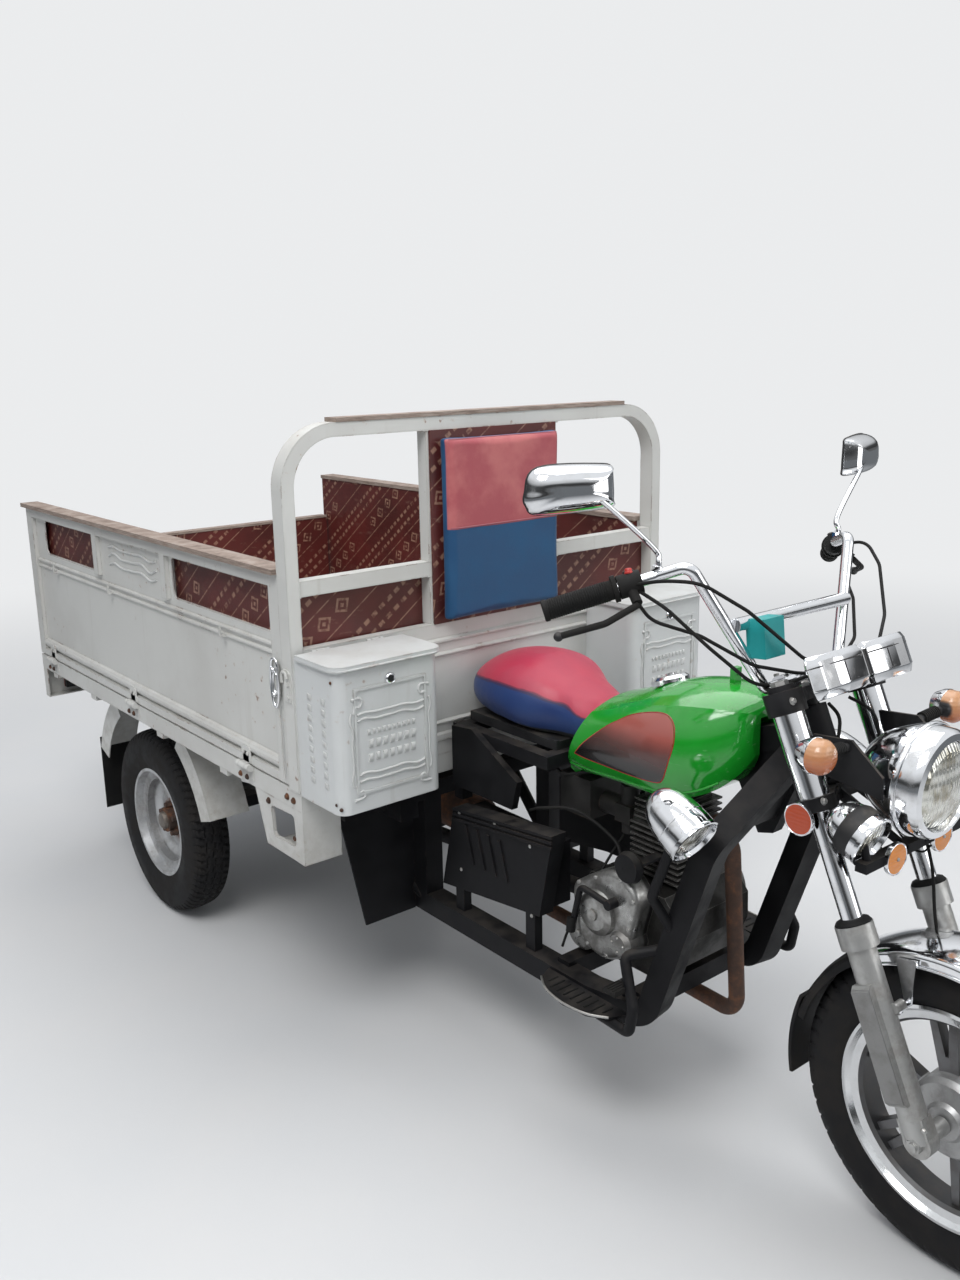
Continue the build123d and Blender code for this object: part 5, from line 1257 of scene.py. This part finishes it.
for side in (-1, 1):
    ball = soft_profile([(0, -30), (20, -28), (30, -8), (30, 10), (20, 24), (0, 28)], 7)
    signals.lathe(ball, at(1053, side * 202, 949), (1, 0, 0), 48)
    signals.tube([at(1050, side * 190, 948), at(1042, side * 104, 938)], 8.0, 0, 16)
    signals.lathe(disc, on_fork(27, side * 153, -112), (0, side, 0), 48)
    signals.lathe(disc, at(1122, side * 72, 756), (1, 0, 0), 48)
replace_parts(signals.done(), "signal_lamps")

# Mirrors: a domed shell on a bent stem
TURN = math.radians(17)
MIRROR_RIM = [(-78, 28), (-80, -22), (-70, -38), (56, -42), (81, -26), (83, -4), (60, 38), (-64, 38)]
domes = Piece("mirror_shells", "steering", chrome("mirror_chrome", (0.80, 0.81, 0.83), 0.04, 0.2, 0.2), "chrome")
for side in (-1, 1):
    middle = at(690, side * 408, 1371)
    mx = Vector((-math.sin(TURN), side * math.cos(TURN), 0))
    ahead = Vector((math.cos(TURN), side * math.sin(TURN), 0))
    outline = closed_line(MIRROR_RIM, 6)
    loops = []
    for deep, wide, high in (
        (-5.8, 0.955, 0.94), (-4, 0.975, 0.97), (0, 0.98, 0.975), (7, 0.965, 0.95), (14, 0.93, 0.89),
        (21, 0.87, 0.79), (27, 0.78, 0.67), (31, 0.66, 0.52), (33.2, 0.48, 0.34), (33.8, 0.20, 0.14),
    ):
        loops.append([middle + (mx * a * wide + Vector((0, 0, 1)) * b * high + ahead * deep) / 1000 for a, b in outline])
    domes.rings(loops)
    stem = [(752, 262, 1212), (756, 262, 1236), (748, 268, 1262), (728, 372, 1350), (712, 400, 1368)]
    domes.tube([at(x, side * y, z) for x, y, z in stem], 5.0, 6, 16)
    domes.lathe([(9, 0), (9, 9), (7, 11)], at(752, side * 262, 1221), (0.1, 0, 1), 6)
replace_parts(domes.done(30.0), "mirrors")

# Fender: a smooth crown with rolled edges over the front tyre, its stays and bosses
fender = Piece("fender_shell", "steering", CHROME, "chrome")
crown_out = [(-66, 284), (-66, 299), (-58.5, 308), (-34, 313.6), (0, 315.8), (34, 313.6), (58.5, 308), (66, 299), (66, 284)]
outer_line = smoothed([Vector((a, b, 0)) for a, b in crown_out], 5)
section = [(min(max(p.x, -66), 66), p.y) for p in outer_line]
section += [(a * 0.955, r - 2.9 if r > 296 else r) for a, r in reversed(section)]
loops = []
for k in range(73):
    angle = math.radians(20 + 108 * k / 72)
    out = Vector((math.cos(angle), 0, math.sin(angle)))
    loops.append([AXLE + out * r / 1000 + Vector((0, a / 1000, 0)) for a, r in section])
fender.rings(loops)
for side in (-1, 1):
    edge = arc_points(AXLE + Vector((0, side * 0.0665, 0)), (0, -1, 0), 0.2852, 20, 128, 72, (1, 0, 0))
    fender.tube(edge, 3.4, 0, 10)
    stay = [(-96, 283), (-58, 291), (-62, 206), (-74, 206)]
    fender.slab(stay, AXLE + Vector((0, side * 0.0715 + 0.0025, 0)), (1, 0, 0), (0, 0, 1), 5, 0.6)
    fender.lathe([(6, 0), (6, 30), (9, 31), (9, 36), (6, 38)], AXLE + Vector((-0.068, side * 0.070, 0.209)), (0, side, 0), 18)
for angle in (20, 128):
    turn = math.radians(angle)
    out = Vector((math.cos(turn), 0, math.sin(turn)))
    lip = [AXLE + out * (r - 1.9) / 1000 + Vector((0, a / 1000, 0)) for a, r in section[:len(section) // 2]]
    fender.tube(lip, 1.8, 0, 8)
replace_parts(fender.done(), "front_fender")

# Spot lamp bands, lens rims and lamp screws
GUARD_AXIS = Vector((0.851, 0, -0.525)).normalized()
SPOT_AXIS = Vector((0.93, 0, -0.37)).normalized()
bands = Piece("lamp_bands", "steering", MATT_BLACK, "black_plastic")
rims = Piece("lamp_rims", "steering", CHROME, "chrome")
for side in (-1, 1):
    tail = at(1040, side * 131, 830)
    bands.lathe([(43.2, 38), (46.6, 46), (46.9, 60), (46.4, 66), (44.5, 66)], tail, SPOT_AXIS, 48)
    rims.lathe([(46.6, 77), (47.2, 80), (47.2, 84.6), (43.5, 85.2), (42.5, 83), (42.5, 77)], tail, SPOT_AXIS, 48)
LAMP_AXIS = Vector((1, 0, -0.04)).normalized()
lamp = at(1018, 0, 884)
rims.lathe([(100.4, 104), (101.6, 106), (101.6, 111), (100.4, 113)], lamp, LAMP_AXIS, 72)
for degree in (20, 160, 270):
    angle = math.radians(degree)
    out = Vector((0, math.cos(angle), math.sin(angle)))
    rims.screw(lamp + LAMP_AXIS * 0.108 + out * 0.101, out, 3.6)
bands.done()
rims.done()
guard_rims = Piece("guard_lamp_rims", "chassis", CHROME, "chrome")
for side in (-1, 1):
    tail = at(745, side * 250, 805)
    guard_rims.lathe([(46.5, 74), (50.7, 75.4), (51.0, 77.6), (47, 79)], tail, GUARD_AXIS, 64)
    guard_rims.lathe([(51.2, 110), (51.9, 113), (51.9, 117.4), (48.4, 118), (47.4, 116), (47.4, 110)], tail, GUARD_AXIS, 56)
guard_rims.done()
cups = Piece("signal_cups", "steering", CHROME, "chrome")
for side in (-1, 1):
    cups.lathe([(0, -31.5), (20.8, -30), (29.5, -14), (31.4, -5), (30.6, -4.6)], at(1053, side * 202, 949), (1, 0, 0), 40)
    cups.lathe([(11, 0), (13, 4), (13, 12), (10, 16)], at(1050, side * 180, 947.4), (0.05, side, 0.01), 24)
cups.done()
sleeves = Piece("signal_sleeves", "steering", RUBBER, "rubber")
for side in (-1, 1):
    ribbed = []
    for k in range(9):
        ribbed += [(11.5, 5 * k), (11.5, 5 * k + 2.6), (9.6, 5 * k + 3.4), (9.6, 5 * k + 4.6)]
    sleeves.lathe(ribbed, at(1044, side * 122, 941), (0.05, side, 0.08), 24)
sleeves.done()

# Reflector rings and hearts
marks = Piece("reflector_rings", "steering", CHROME, "chrome")
hearts = Piece("reflector_screws", "steering", STEEL, "chrome")
for side in (-1, 1):
    front = at(1122, side * 72, 756)
    hearts.screw(front + Vector((0.0096, 0, 0)), (1, 0, 0), 3.4)
    marks.lathe([(28.6, 0), (29.2, 2), (29.2, 8.4), (28.2, 8.8), (27.6, 8)], front, (1, 0, 0), 40)
    flank = on_fork(27, side * 153, -112)
    marks.lathe([(28.5, 0), (29, 2), (29, 8.2), (28, 8.6), (27.4, 8)], flank, (0, side, 0), 40)
marks.done()
hearts.done()

# Fork: dust seals, slider bolts and the clamp bolts
seals = Piece("fork_seals", "steering", RUBBER, "rubber")
fork_bolts = Piece("fork_bolts", "steering", STEEL, "cast_alloy")
for side in (-1, 1):
    top = on_fork(40, side * 118, -307)
    seals.lathe([(31, -1), (31.6, 2), (28, 7), (20.5, 10), (19.2, 10)], top, FORK_UP, 40)
    for up in (-92, -100 + 200 - 16):
        place = on_fork(40 + 30, side * (118 + 18), up)
        fork_bolts.bolt(place, FORK_FORWARD, 5.4, 6.0)
    fork_bolts.lathe([(16, 0), (16, 7), (13, 9)], on_fork(40, side * 118, 114), FORK_UP, 6)
    fork_bolts.bolt(AXLE + Vector((0.012, side * 0.133, 0.034)), (0, side, 0), 4.2, 4.4)
fork_bolts.lathe([(17, 0), (17, 5), (12, 7)], on_fork(0, 0, 100), FORK_UP, 6)
seals.done()
fork_bolts.done()

# Handlebar: ribbed grips, bar ends, clamp screws, switch keys
grip_out = at(636, -412, 1156)
grip_run = at(752, -262, 1212) - grip_out
for side, word in ((-1, "right"), (1, "left")):
    base = Vector((grip_out.x, grip_out.y * -side, grip_out.z))
    run = Vector((grip_run.x, grip_run.y * -side, grip_run.z))
    long = run.length * 1000
    ribs = []
    for k in range(26):
        t = 4 + k * 4.1
        ribs += [(17.6, t), (18.7, t + 0.9), (18.7, t + 2.2), (17.6, t + 3.1)]
    grip = Piece("grip_ribs_" + word, "steering", RUBBER, "rubber")
    grip.lathe(ribs, base, run, 28)
    grip.lathe([(17.0, -8), (19.5, -6), (19.5, 0), (17.6, 2)], base, run, 28)
    grip.done()
    keys = Piece("switch_keys_" + word, "steering", plastic("key_" + word, (0.02, 0.02, 0.02), 0.4), "black_plastic")
    seat_of_key = base + run * 0.76
    out = Vector((-0.5, 0, 0.86))
    keys.lathe([(6, 18), (6, 24), (4.5, 25.4), (0, 25.6)], seat_of_key, out, 18)
    keys.lathe([(4, 18), (4, 23), (3, 24)], seat_of_key + run * 0.05, out, 14)
    keys.done()
bar_screws = Piece("bar_screws", "steering", STEEL, "chrome")
for side in (-1, 1):
    for forward in (-16, 10):
        bar_screws.lathe([(5, 0), (5, 5), (4, 6), (2.2, 6), (2.2, 3.5), (0, 3.5)], on_fork(-3 + forward + 3, side * 50, 130), FORK_UP, 18)
bar_screws.done()

# Instruments: two dials, their rings, needles and a row of tell-tales
dial_face = plastic("dial_face", (0.020, 0.020, 0.022), 0.3)
dial_mark = plastic("dial_mark", (0.62, 0.62, 0.58), 0.4)
dials = Piece("dial_faces", "steering", dial_face, "black_plastic")
marks = Piece("dial_marks", "steering", dial_mark, "black_plastic")
rings = Piece("dial_rings", "steering", CHROME, "chrome")
lights = Piece("tell_tales", "steering", finishes["red_plastic"], "red_plastic")
face_out = FORK_FORWARD * -1
for side in (-1, 1):
    middle = on_fork(103.2, side * 64, 112)
    dials.lathe([(27, -0.4), (27, 0.6), (0, 0.7)], middle, face_out, 40)
    rings.lathe([(29.5, -0.6), (29.5, 2.6), (27.6, 3.4), (26.6, 2.2), (26.6, 0)], middle, face_out, 48)
    for k in range(13):
        angle = math.radians(-130 + 260 * k / 12)
        across = Vector((0, 1, 0)) * math.sin(angle) + FORK_UP * math.cos(angle)
        inner = 0.0195 if k % 2 else 0.0175
        marks.tube([middle + face_out * 0.001 + across * inner, middle + face_out * 0.001 + across * 0.0235], 0.55, 0, 5)
    needle = Vector((0, -0.80, 0)) - FORK_UP * 0.6
    marks.tube([middle + face_out * 0.0014, middle + face_out * 0.0014 + needle * 0.019], 0.8, 0, 6)
for k in range(3):
    lights.lathe([(4.2, -0.4), (4.2, 1.0), (2.5, 2.0), (0, 2.2)], on_fork(103.4, -12 + 12 * k, 100), face_out, 18)
dials.done()
marks.done()
rings.done()
lights.done()


def eased(corners, size):
    """Plan outline with each corner cut by a short curve."""
    line = []
    for k, corner in enumerate(corners):
        spot = Vector(corner)
        back = (Vector(corners[k - 1]) - spot).normalized() * size
        ahead = (Vector(corners[(k + 1) % len(corners)]) - spot).normalized() * size
        line += [spot + back, spot + (back + ahead) * 0.29, spot + ahead]
    return line


pods = Piece("cluster_shells", "steering", finishes["chrome"], "chrome")
seams_and_gap_shade = Piece("cluster_seams_and_gap_shade", "steering", MATT_BLACK, "black_plastic")
POD_PLAN = [(103, 5.5), (103, 122), (127.5, 149), (140, 124), (143.6, 64), (142, 5.5)]
for side in (-1, 1):
    plan = eased(POD_PLAN, 3.2)
    loops = []
    for up, inset in (
        (73, 9.0), (74.2, 7.2), (86, 1.4), (88.5, 0.3), (91, 0), (126.5, 0), (127, 0.8), (128.6, 0.8), (129.1, 0),
        (135, 0), (137.8, 0.5), (146, 4.4), (147.6, 6.4),
    ):
        loops.append([on_fork(122 + (p.x - 122) * (1 - inset / 21), side * (77 + (p.y - 77) * (1 - inset / 72)), up) for p in plan])
    pods.rings(loops)
    band = [on_fork(122 + (p.x - 122) * 1.002, side * (77 + (p.y - 77) * 1.001), 127.8) for p in plan]
    seams_and_gap_shade.tube(band + band[:1], 0.9, 0, 6, True)
    seams_and_gap_shade.tube([on_fork(144.0, side * 64, 92), on_fork(144.0, side * 64, 126)], 0.7, 0, 6)
# Painted shade: a black rod fills the gap between the two pods, in place of the gap's shade.
seams_and_gap_shade.tube([on_fork(136, 0, 90), on_fork(136, 0, 136)], 5.4, 0, 12)
pods.done(30.0)
seams_and_gap_shade.done()

# Round cross bar between the risers, and the ball ends of the levers
cross = Piece("cross_bar", "steering", CHROME, "chrome")
cross.tube([at(846, -163, 1124), at(846, 163, 1124)], 12.3, 0, 28)
cross.done()
balls = Piece("lever_balls", "steering", MATT_BLACK, "black_plastic")
for side in (-1, 1):
    round_end = [(0, -8.5), (4.6, -7.2), (7.8, -3.6), (8.6, 0), (7.8, 3.6), (4.6, 7.2), (0, 8.5)]
    balls.lathe(round_end, at(685.5, side * 431.5, 1120.5), (0, side, 0), 24)
balls.done()
stop_key = Piece("stop_key", "steering", finishes["red_plastic"], "red_plastic")
stop_key.lathe([(8, 0), (8, 3), (6.4, 4), (6.4, 8), (5.2, 9.6), (0, 10)], at(722, -300, 1217), (-0.3, 0.1, 1), 24)
stop_key.done()

# Mirror glasses and the dark band round each chrome shell
glass_metal = chrome("mirror_glass", (0.62, 0.66, 0.68), 0.02, 0.10, 0.0)
for side, word in ((-1, "right"), (1, "left")):
    middle = at(690, side * 408, 1371)
    mx = Vector((-math.sin(TURN), side * math.cos(TURN), 0))
    back = Vector((-math.cos(TURN), -side * math.sin(TURN), 0))
    glass = Piece("mirror_glass_" + word, "steering", glass_metal, "chrome")
    outline = [(0.92 * a, 0.89 * b) for a, b in closed_line(MIRROR_RIM, 6)]
    loop = [middle + (mx * a + Vector((0, 0, 1)) * b) / 1000 + back * 0.0064 for a, b in outline]
    near = [p - back * 0.0008 for p in loop]
    glass.rings([near, loop])
    glass.done(30.0)
    band = Piece("mirror_band_" + word, "steering", MATT_BLACK, "black_plastic")
    edge = [middle + (mx * a * 0.975 + Vector((0, 0, 1)) * b * 0.965) / 1000 + back * 0.0045 for a, b in closed_line(MIRROR_RIM, 6)]
    band.tube(edge, 1.9, 0, 8, True)
    band.lathe([(9, 0), (11, 4), (11, 12), (8, 16)], at(716, side * 394, 1364), (0.4, -0.8 * side, 0.5), 20)
    band.done()

# Engine: cover screws, spark plug lead, hoses and small brackets
engine_bits = Piece("engine_screws", "chassis", STEEL, "cast_alloy")
for x, z in ((455, 497), (505, 526), (577, 545), (611, 509), (600, 442), (582, 388), (538, 358), (482, 365), (452, 420)):
    engine_bits.lathe([(5, 0), (5, 3.5), (3.6, 4.6), (1.8, 4.6), (1.8, 3.2)], at(x, -158.5, z), OUTWARD, 14)
for x, z in ((562, 404), (594, 404), (578, 386), (578, 418)):
    engine_bits.screw(at(x, -170, z), OUTWARD, 3.2)
engine_bits.lathe([(13, 0), (13, 4), (9, 6), (3, 6)], at(515, -181, 450), OUTWARD, 28)
engine_bits.lathe([(9, 0), (9, 5), (7, 7)], at(452, -158, 376), OUTWARD, 6)
for x in (548, 622):
    for y in (-40, 40):
        engine_bits.lathe([(7, 0), (7, 6), (5, 8)], at(x, y, 712), (0, 0, 1), 6)
engine_bits.done()
hoses = Piece("engine_hoses", "chassis", RUBBER, "rubber")
hoses.tube([at(*p) for p in ((651, -30, 668), (676, -60, 672), (684, -92, 700), (640, -96, 742), (560, -60, 752))], 4.0, 6, 10)
hoses.tube([at(*p) for p in ((470, -24, 668), (468, -60, 706), (430, -96, 722), (360, -110, 700), (300, -80, 690))], 3.4, 6, 10)
hoses.tube([at(*p) for p in ((470, -42, 575), (478, -90, 545), (470, -150, 470), (442, -176, 392), (430, -186, 345))], 3.0, 6, 10)
hoses.tube([at(*p) for p in ((500, 20, 730), (470, 30, 700), (462, 10, 660))], 5.0, 6, 10)
hoses.tube([at(*p) for p in ((300, -160, 612), (360, -176, 640), (440, -150, 650), (520, -120, 600), (560, -140, 560))], 3.6, 6, 10)
hoses.lathe([(8, 0), (11, 6), (11, 26), (7, 34)], at(642, -22, 668), (0.8, -0.6, 0.1), 18)
hoses.done()
pedal_pads = Piece("pedal_pads", "chassis", RUBBER, "rubber")
pedal_pads.slab([(-16, -22), (16, -22), (16, 22), (-16, 22)], at(672, -266, 378), (1, 0, 0), (0, 1, 0), 9, 2.0)
for k in range(5):
    pedal_pads.tube([at(658 + 7 * k, -286, 387.5), at(658 + 7 * k, -246, 387.5)], 1.4, 0, 6)
pedal_pads.tube([at(470, -196, 432), at(470, -200, 402)], 10.0, 0, 14)
pedal_pads.done()
for side, word in ((-1, "right"), (1, "left")):
    treads = Piece("foot_ribs_" + word, "chassis", STEEL, "spring_steel")
    rim = [(446, 262), (490, 288), (550, 298), (610, 290), (650, 266)]
    treads.tube([at(x, side * y, 308.6) for x, y in rim], 2.6, 5, 8)
    treads.done()
    grips = Piece("foot_mats_" + word, "chassis", RUBBER, "rubber")
    for k in range(9):
        x = 470 + 20 * k
        reach = 276 if 0 < k < 8 else 262
        grips.tube([at(x, side * 236, 308.4), at(x, side * reach, 308.4)], 2.2, 0, 6)
    grips.done()

# Side boxes' fixings, tail lamp ribs and hoop weld beads
box_fixings = Piece("box_fixings", "chassis", STEEL, "chrome")
for side in (-1, 1):
    for x, z in ((110, 560), (356, 560), (112, 420), (360, 398), (238, 575)):
        box_fixings.screw(at(x, side * 212, z), (0, side, 0), 4.4)
box_fixings.done()
lamp_ribs = Piece("tail_lamp_ribs", "chassis", finishes["red_plastic"], "red_plastic")
tail_low, tail_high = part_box("tail_lamps")
for side in (-1, 1):
    for k in range(5):
        z = 553 + 9.5 * k
        start = Vector((tail_low.x + 0.0002, side * 0.386, z / 1000))
        stop = Vector((tail_low.x + 0.0002, side * 0.494, z / 1000))
        lamp_ribs.tube([start, stop], 1.2, 0, 6)
lamp_ribs.done()
beads = Piece("weld_beads", "chassis", WHITE, "white_paint")
for side in (-1, 1):
    for y0, y1 in ((565 - 30, 0),):
        corner = [at(-1, side * 534, z) for z in (1097, 1115, 1133)]
        beads.tube(corner, 2.4, 0, 6)
    for y in (159, 195):
        for z in (1098, 1132, 1425):
            beads.tube([at(-3, side * y - 6, z), at(-3, side * y + 6, z)], 2.2, 0, 6)
    for z in (985, 1425):
        beads.tube([at(-2, side * (159 + 18) - 16, z), at(-2, side * (159 + 18) + 16, z)], 2.2, 0, 6)
beads.done()

# Drive cable of the instruments, from the lower yoke to the hub
leads = Piece("hub_cable", "steering", RUBBER, "rubber")
leads.tube([
    on_fork(70, 60, -104), on_fork(96, 66, -160), on_fork(92, 70, -260), on_fork(62, 74, -360), on_fork(50, 76, -430),
], 3.0, 6, 10)
leads.done()
wires = Piece("lamp_wires", "steering", RUBBER, "rubber")
for side in (-1, 1):
    wires.tube([
        at(1040, side * 131, 830) - SPOT_AXIS * 0.0, at(1020, side * 112, 816), at(1010, side * 80, 830), at(1000, side * 40, 868),
    ], 2.6, 6, 8)
    wires.tube([at(1122, side * 60, 752), at(1112, side * 40, 730), at(1080, side * 34, 742), at(1030, side * 30, 806)], 2.0, 6, 8)
wires.tube([on_fork(60, -30, 60), on_fork(84, -46, 30), on_fork(70, -64, -20), on_fork(40, -70, -66)], 3.2, 6, 10)
wires.tube([on_fork(60, 30, 60), on_fork(88, 44, 24), on_fork(74, 60, -24), on_fork(40, 70, -60)], 3.2, 6, 10)
wires.done()

# --------------------------------------------------------------------- studio
CAMERA_PLACE = at(2097.0, -1732.7, 1596.5)
CAMERA_LOOK = Vector((-0.7572, 0.6064, -0.2426))
CAMERA_ROLL = math.radians(-1.09)
LENS = 32.63

camera_data = bpy.data.cameras.new("camera")
camera_data.lens = LENS
camera_data.sensor_width = 36.0
camera = bpy.data.objects.new("camera", camera_data)
bpy.context.scene.collection.objects.link(camera)
camera.location = CAMERA_PLACE
camera.rotation_mode = "QUATERNION"
turned = Quaternion((0, 0, 1), CAMERA_ROLL)
camera.rotation_quaternion = CAMERA_LOOK.to_track_quat("-Z", "Y") @ turned
bpy.context.scene.camera = camera

BACKDROP = (0.83, 0.84, 0.85)


def make_floor():
    """Pale floor that fades into the backdrop far away."""
    mesh = bpy.data.meshes.new("floor")
    half = 40.0
    corners = [(-half, -half, 0), (half, -half, 0), (half, half, 0), (-half, half, 0)]
    mesh.from_pydata(corners, [], [(0, 1, 2, 3)])
    floor = bpy.data.objects.new("floor", mesh)
    bpy.context.scene.collection.objects.link(floor)
    g = Graph("floor")
    far = g.band(g.distance((0, 0, 0)), 1.6, 6.5)
    tone = g.mix(g.band(g.noise(2.5, 5.0), 0.3, 0.7), (0.630, 0.635, 0.640), (0.645, 0.645, 0.645))
    g.finish(Base_Color=tone, Roughness=0.85, Normal=g.bump(g.noise(180.0, 4.0), 0.0006, 0.3))
    glow = g.node("ShaderNodeEmission", Color=colour4(BACKDROP), Strength=1.0)
    dusk = g.node("ShaderNodeEmission", Color=colour4((0.16, 0.17, 0.18)), Strength=1.0)
    seen = g.tree.nodes.new("ShaderNodeLightPath")
    away = g.node("ShaderNodeMixShader", Fac=seen.outputs["Is Camera Ray"])
    g.tree.links.new(dusk.outputs["Emission"], away.inputs[1])
    g.tree.links.new(glow.outputs["Emission"], away.inputs[2])
    blend = g.node("ShaderNodeMixShader", Fac=far)
    g.tree.links.new(g.shader.outputs["BSDF"], blend.inputs[1])
    g.tree.links.new(away.outputs["Shader"], blend.inputs[2])
    output = g.tree.nodes["Material Output"]
    g.tree.links.new(blend.outputs["Shader"], output.inputs["Surface"])
    mesh.materials.append(g.material)


def make_world():
    """Even soft light; bright above and dark near the horizon in reflections."""
    world = bpy.data.worlds.new("studio")
    bpy.context.scene.world = world
    world.use_nodes = True
    tree = world.node_tree
    light = tree.nodes["Background"]
    light.inputs["Color"].default_value = (0.80, 0.84, 0.90, 1.0)
    light.inputs["Strength"].default_value = 0.47
    seen = tree.nodes.new("ShaderNodeBackground")
    seen.inputs["Color"].default_value = colour4(BACKDROP)
    place = tree.nodes.new("ShaderNodeTexCoord")
    parts = tree.nodes.new("ShaderNodeSeparateXYZ")
    tree.links.new(place.outputs["Generated"], parts.inputs[0])
    sky = tree.nodes.new("ShaderNodeValToRGB")
    stops = ((0.0, 0.12), (0.04, 0.04), (0.13, 0.07), (0.22, 0.55), (0.50, 0.95))
    elements = sky.color_ramp.elements
    while len(elements) < len(stops):
        elements.new(0.5)
    for element, (position, grey) in zip(elements, stops):
        element.position = position
        element.color = colour4((grey * 0.96, grey * 0.98, grey))
    tree.links.new(parts.outputs["Z"], sky.inputs["Fac"])
    gloss = tree.nodes.new("ShaderNodeBackground")
    tree.links.new(sky.outputs["Color"], gloss.inputs["Color"])
    path = tree.nodes.new("ShaderNodeLightPath")
    inner = tree.nodes.new("ShaderNodeMixShader")
    tree.links.new(path.outputs["Is Glossy Ray"], inner.inputs["Fac"])
    tree.links.new(light.outputs["Background"], inner.inputs[1])
    tree.links.new(gloss.outputs["Background"], inner.inputs[2])
    blend = tree.nodes.new("ShaderNodeMixShader")
    tree.links.new(path.outputs["Is Camera Ray"], blend.inputs["Fac"])
    tree.links.new(inner.outputs["Shader"], blend.inputs[1])
    tree.links.new(seen.outputs["Background"], blend.inputs[2])
    tree.links.new(blend.outputs["Shader"], tree.nodes["World Output"].inputs["Surface"])


def area_lamp(name, place, target, size, watts):
    data = bpy.data.lights.new(name, "AREA")
    data.shape = "RECTANGLE"
    data.size = size[0]
    data.size_y = size[1]
    data.energy = watts
    lamp = bpy.data.objects.new(name, data)
    bpy.context.scene.collection.objects.link(lamp)
    lamp.location = place
    lamp.rotation_mode = "QUATERNION"
    lamp.rotation_quaternion = (Vector(target) - Vector(place)).to_track_quat("-Z", "Y")


make_floor()
make_world()
area_lamp("key_lamp", (2.0, -2.9, 5.2), (0, 0, 0.6), (3.0, 2.4), 205.0)
area_lamp("top_lamp", (-0.5, 0.8, 5.0), (0, 0, 0.5), (5.0, 4.0), 150.0)
area_lamp("fill_lamp", (4.6, 2.2, 2.2), (0, 0, 0.7), (3.0, 3.0), 60.0)

scene = bpy.context.scene
scene.view_settings.view_transform = "Standard"
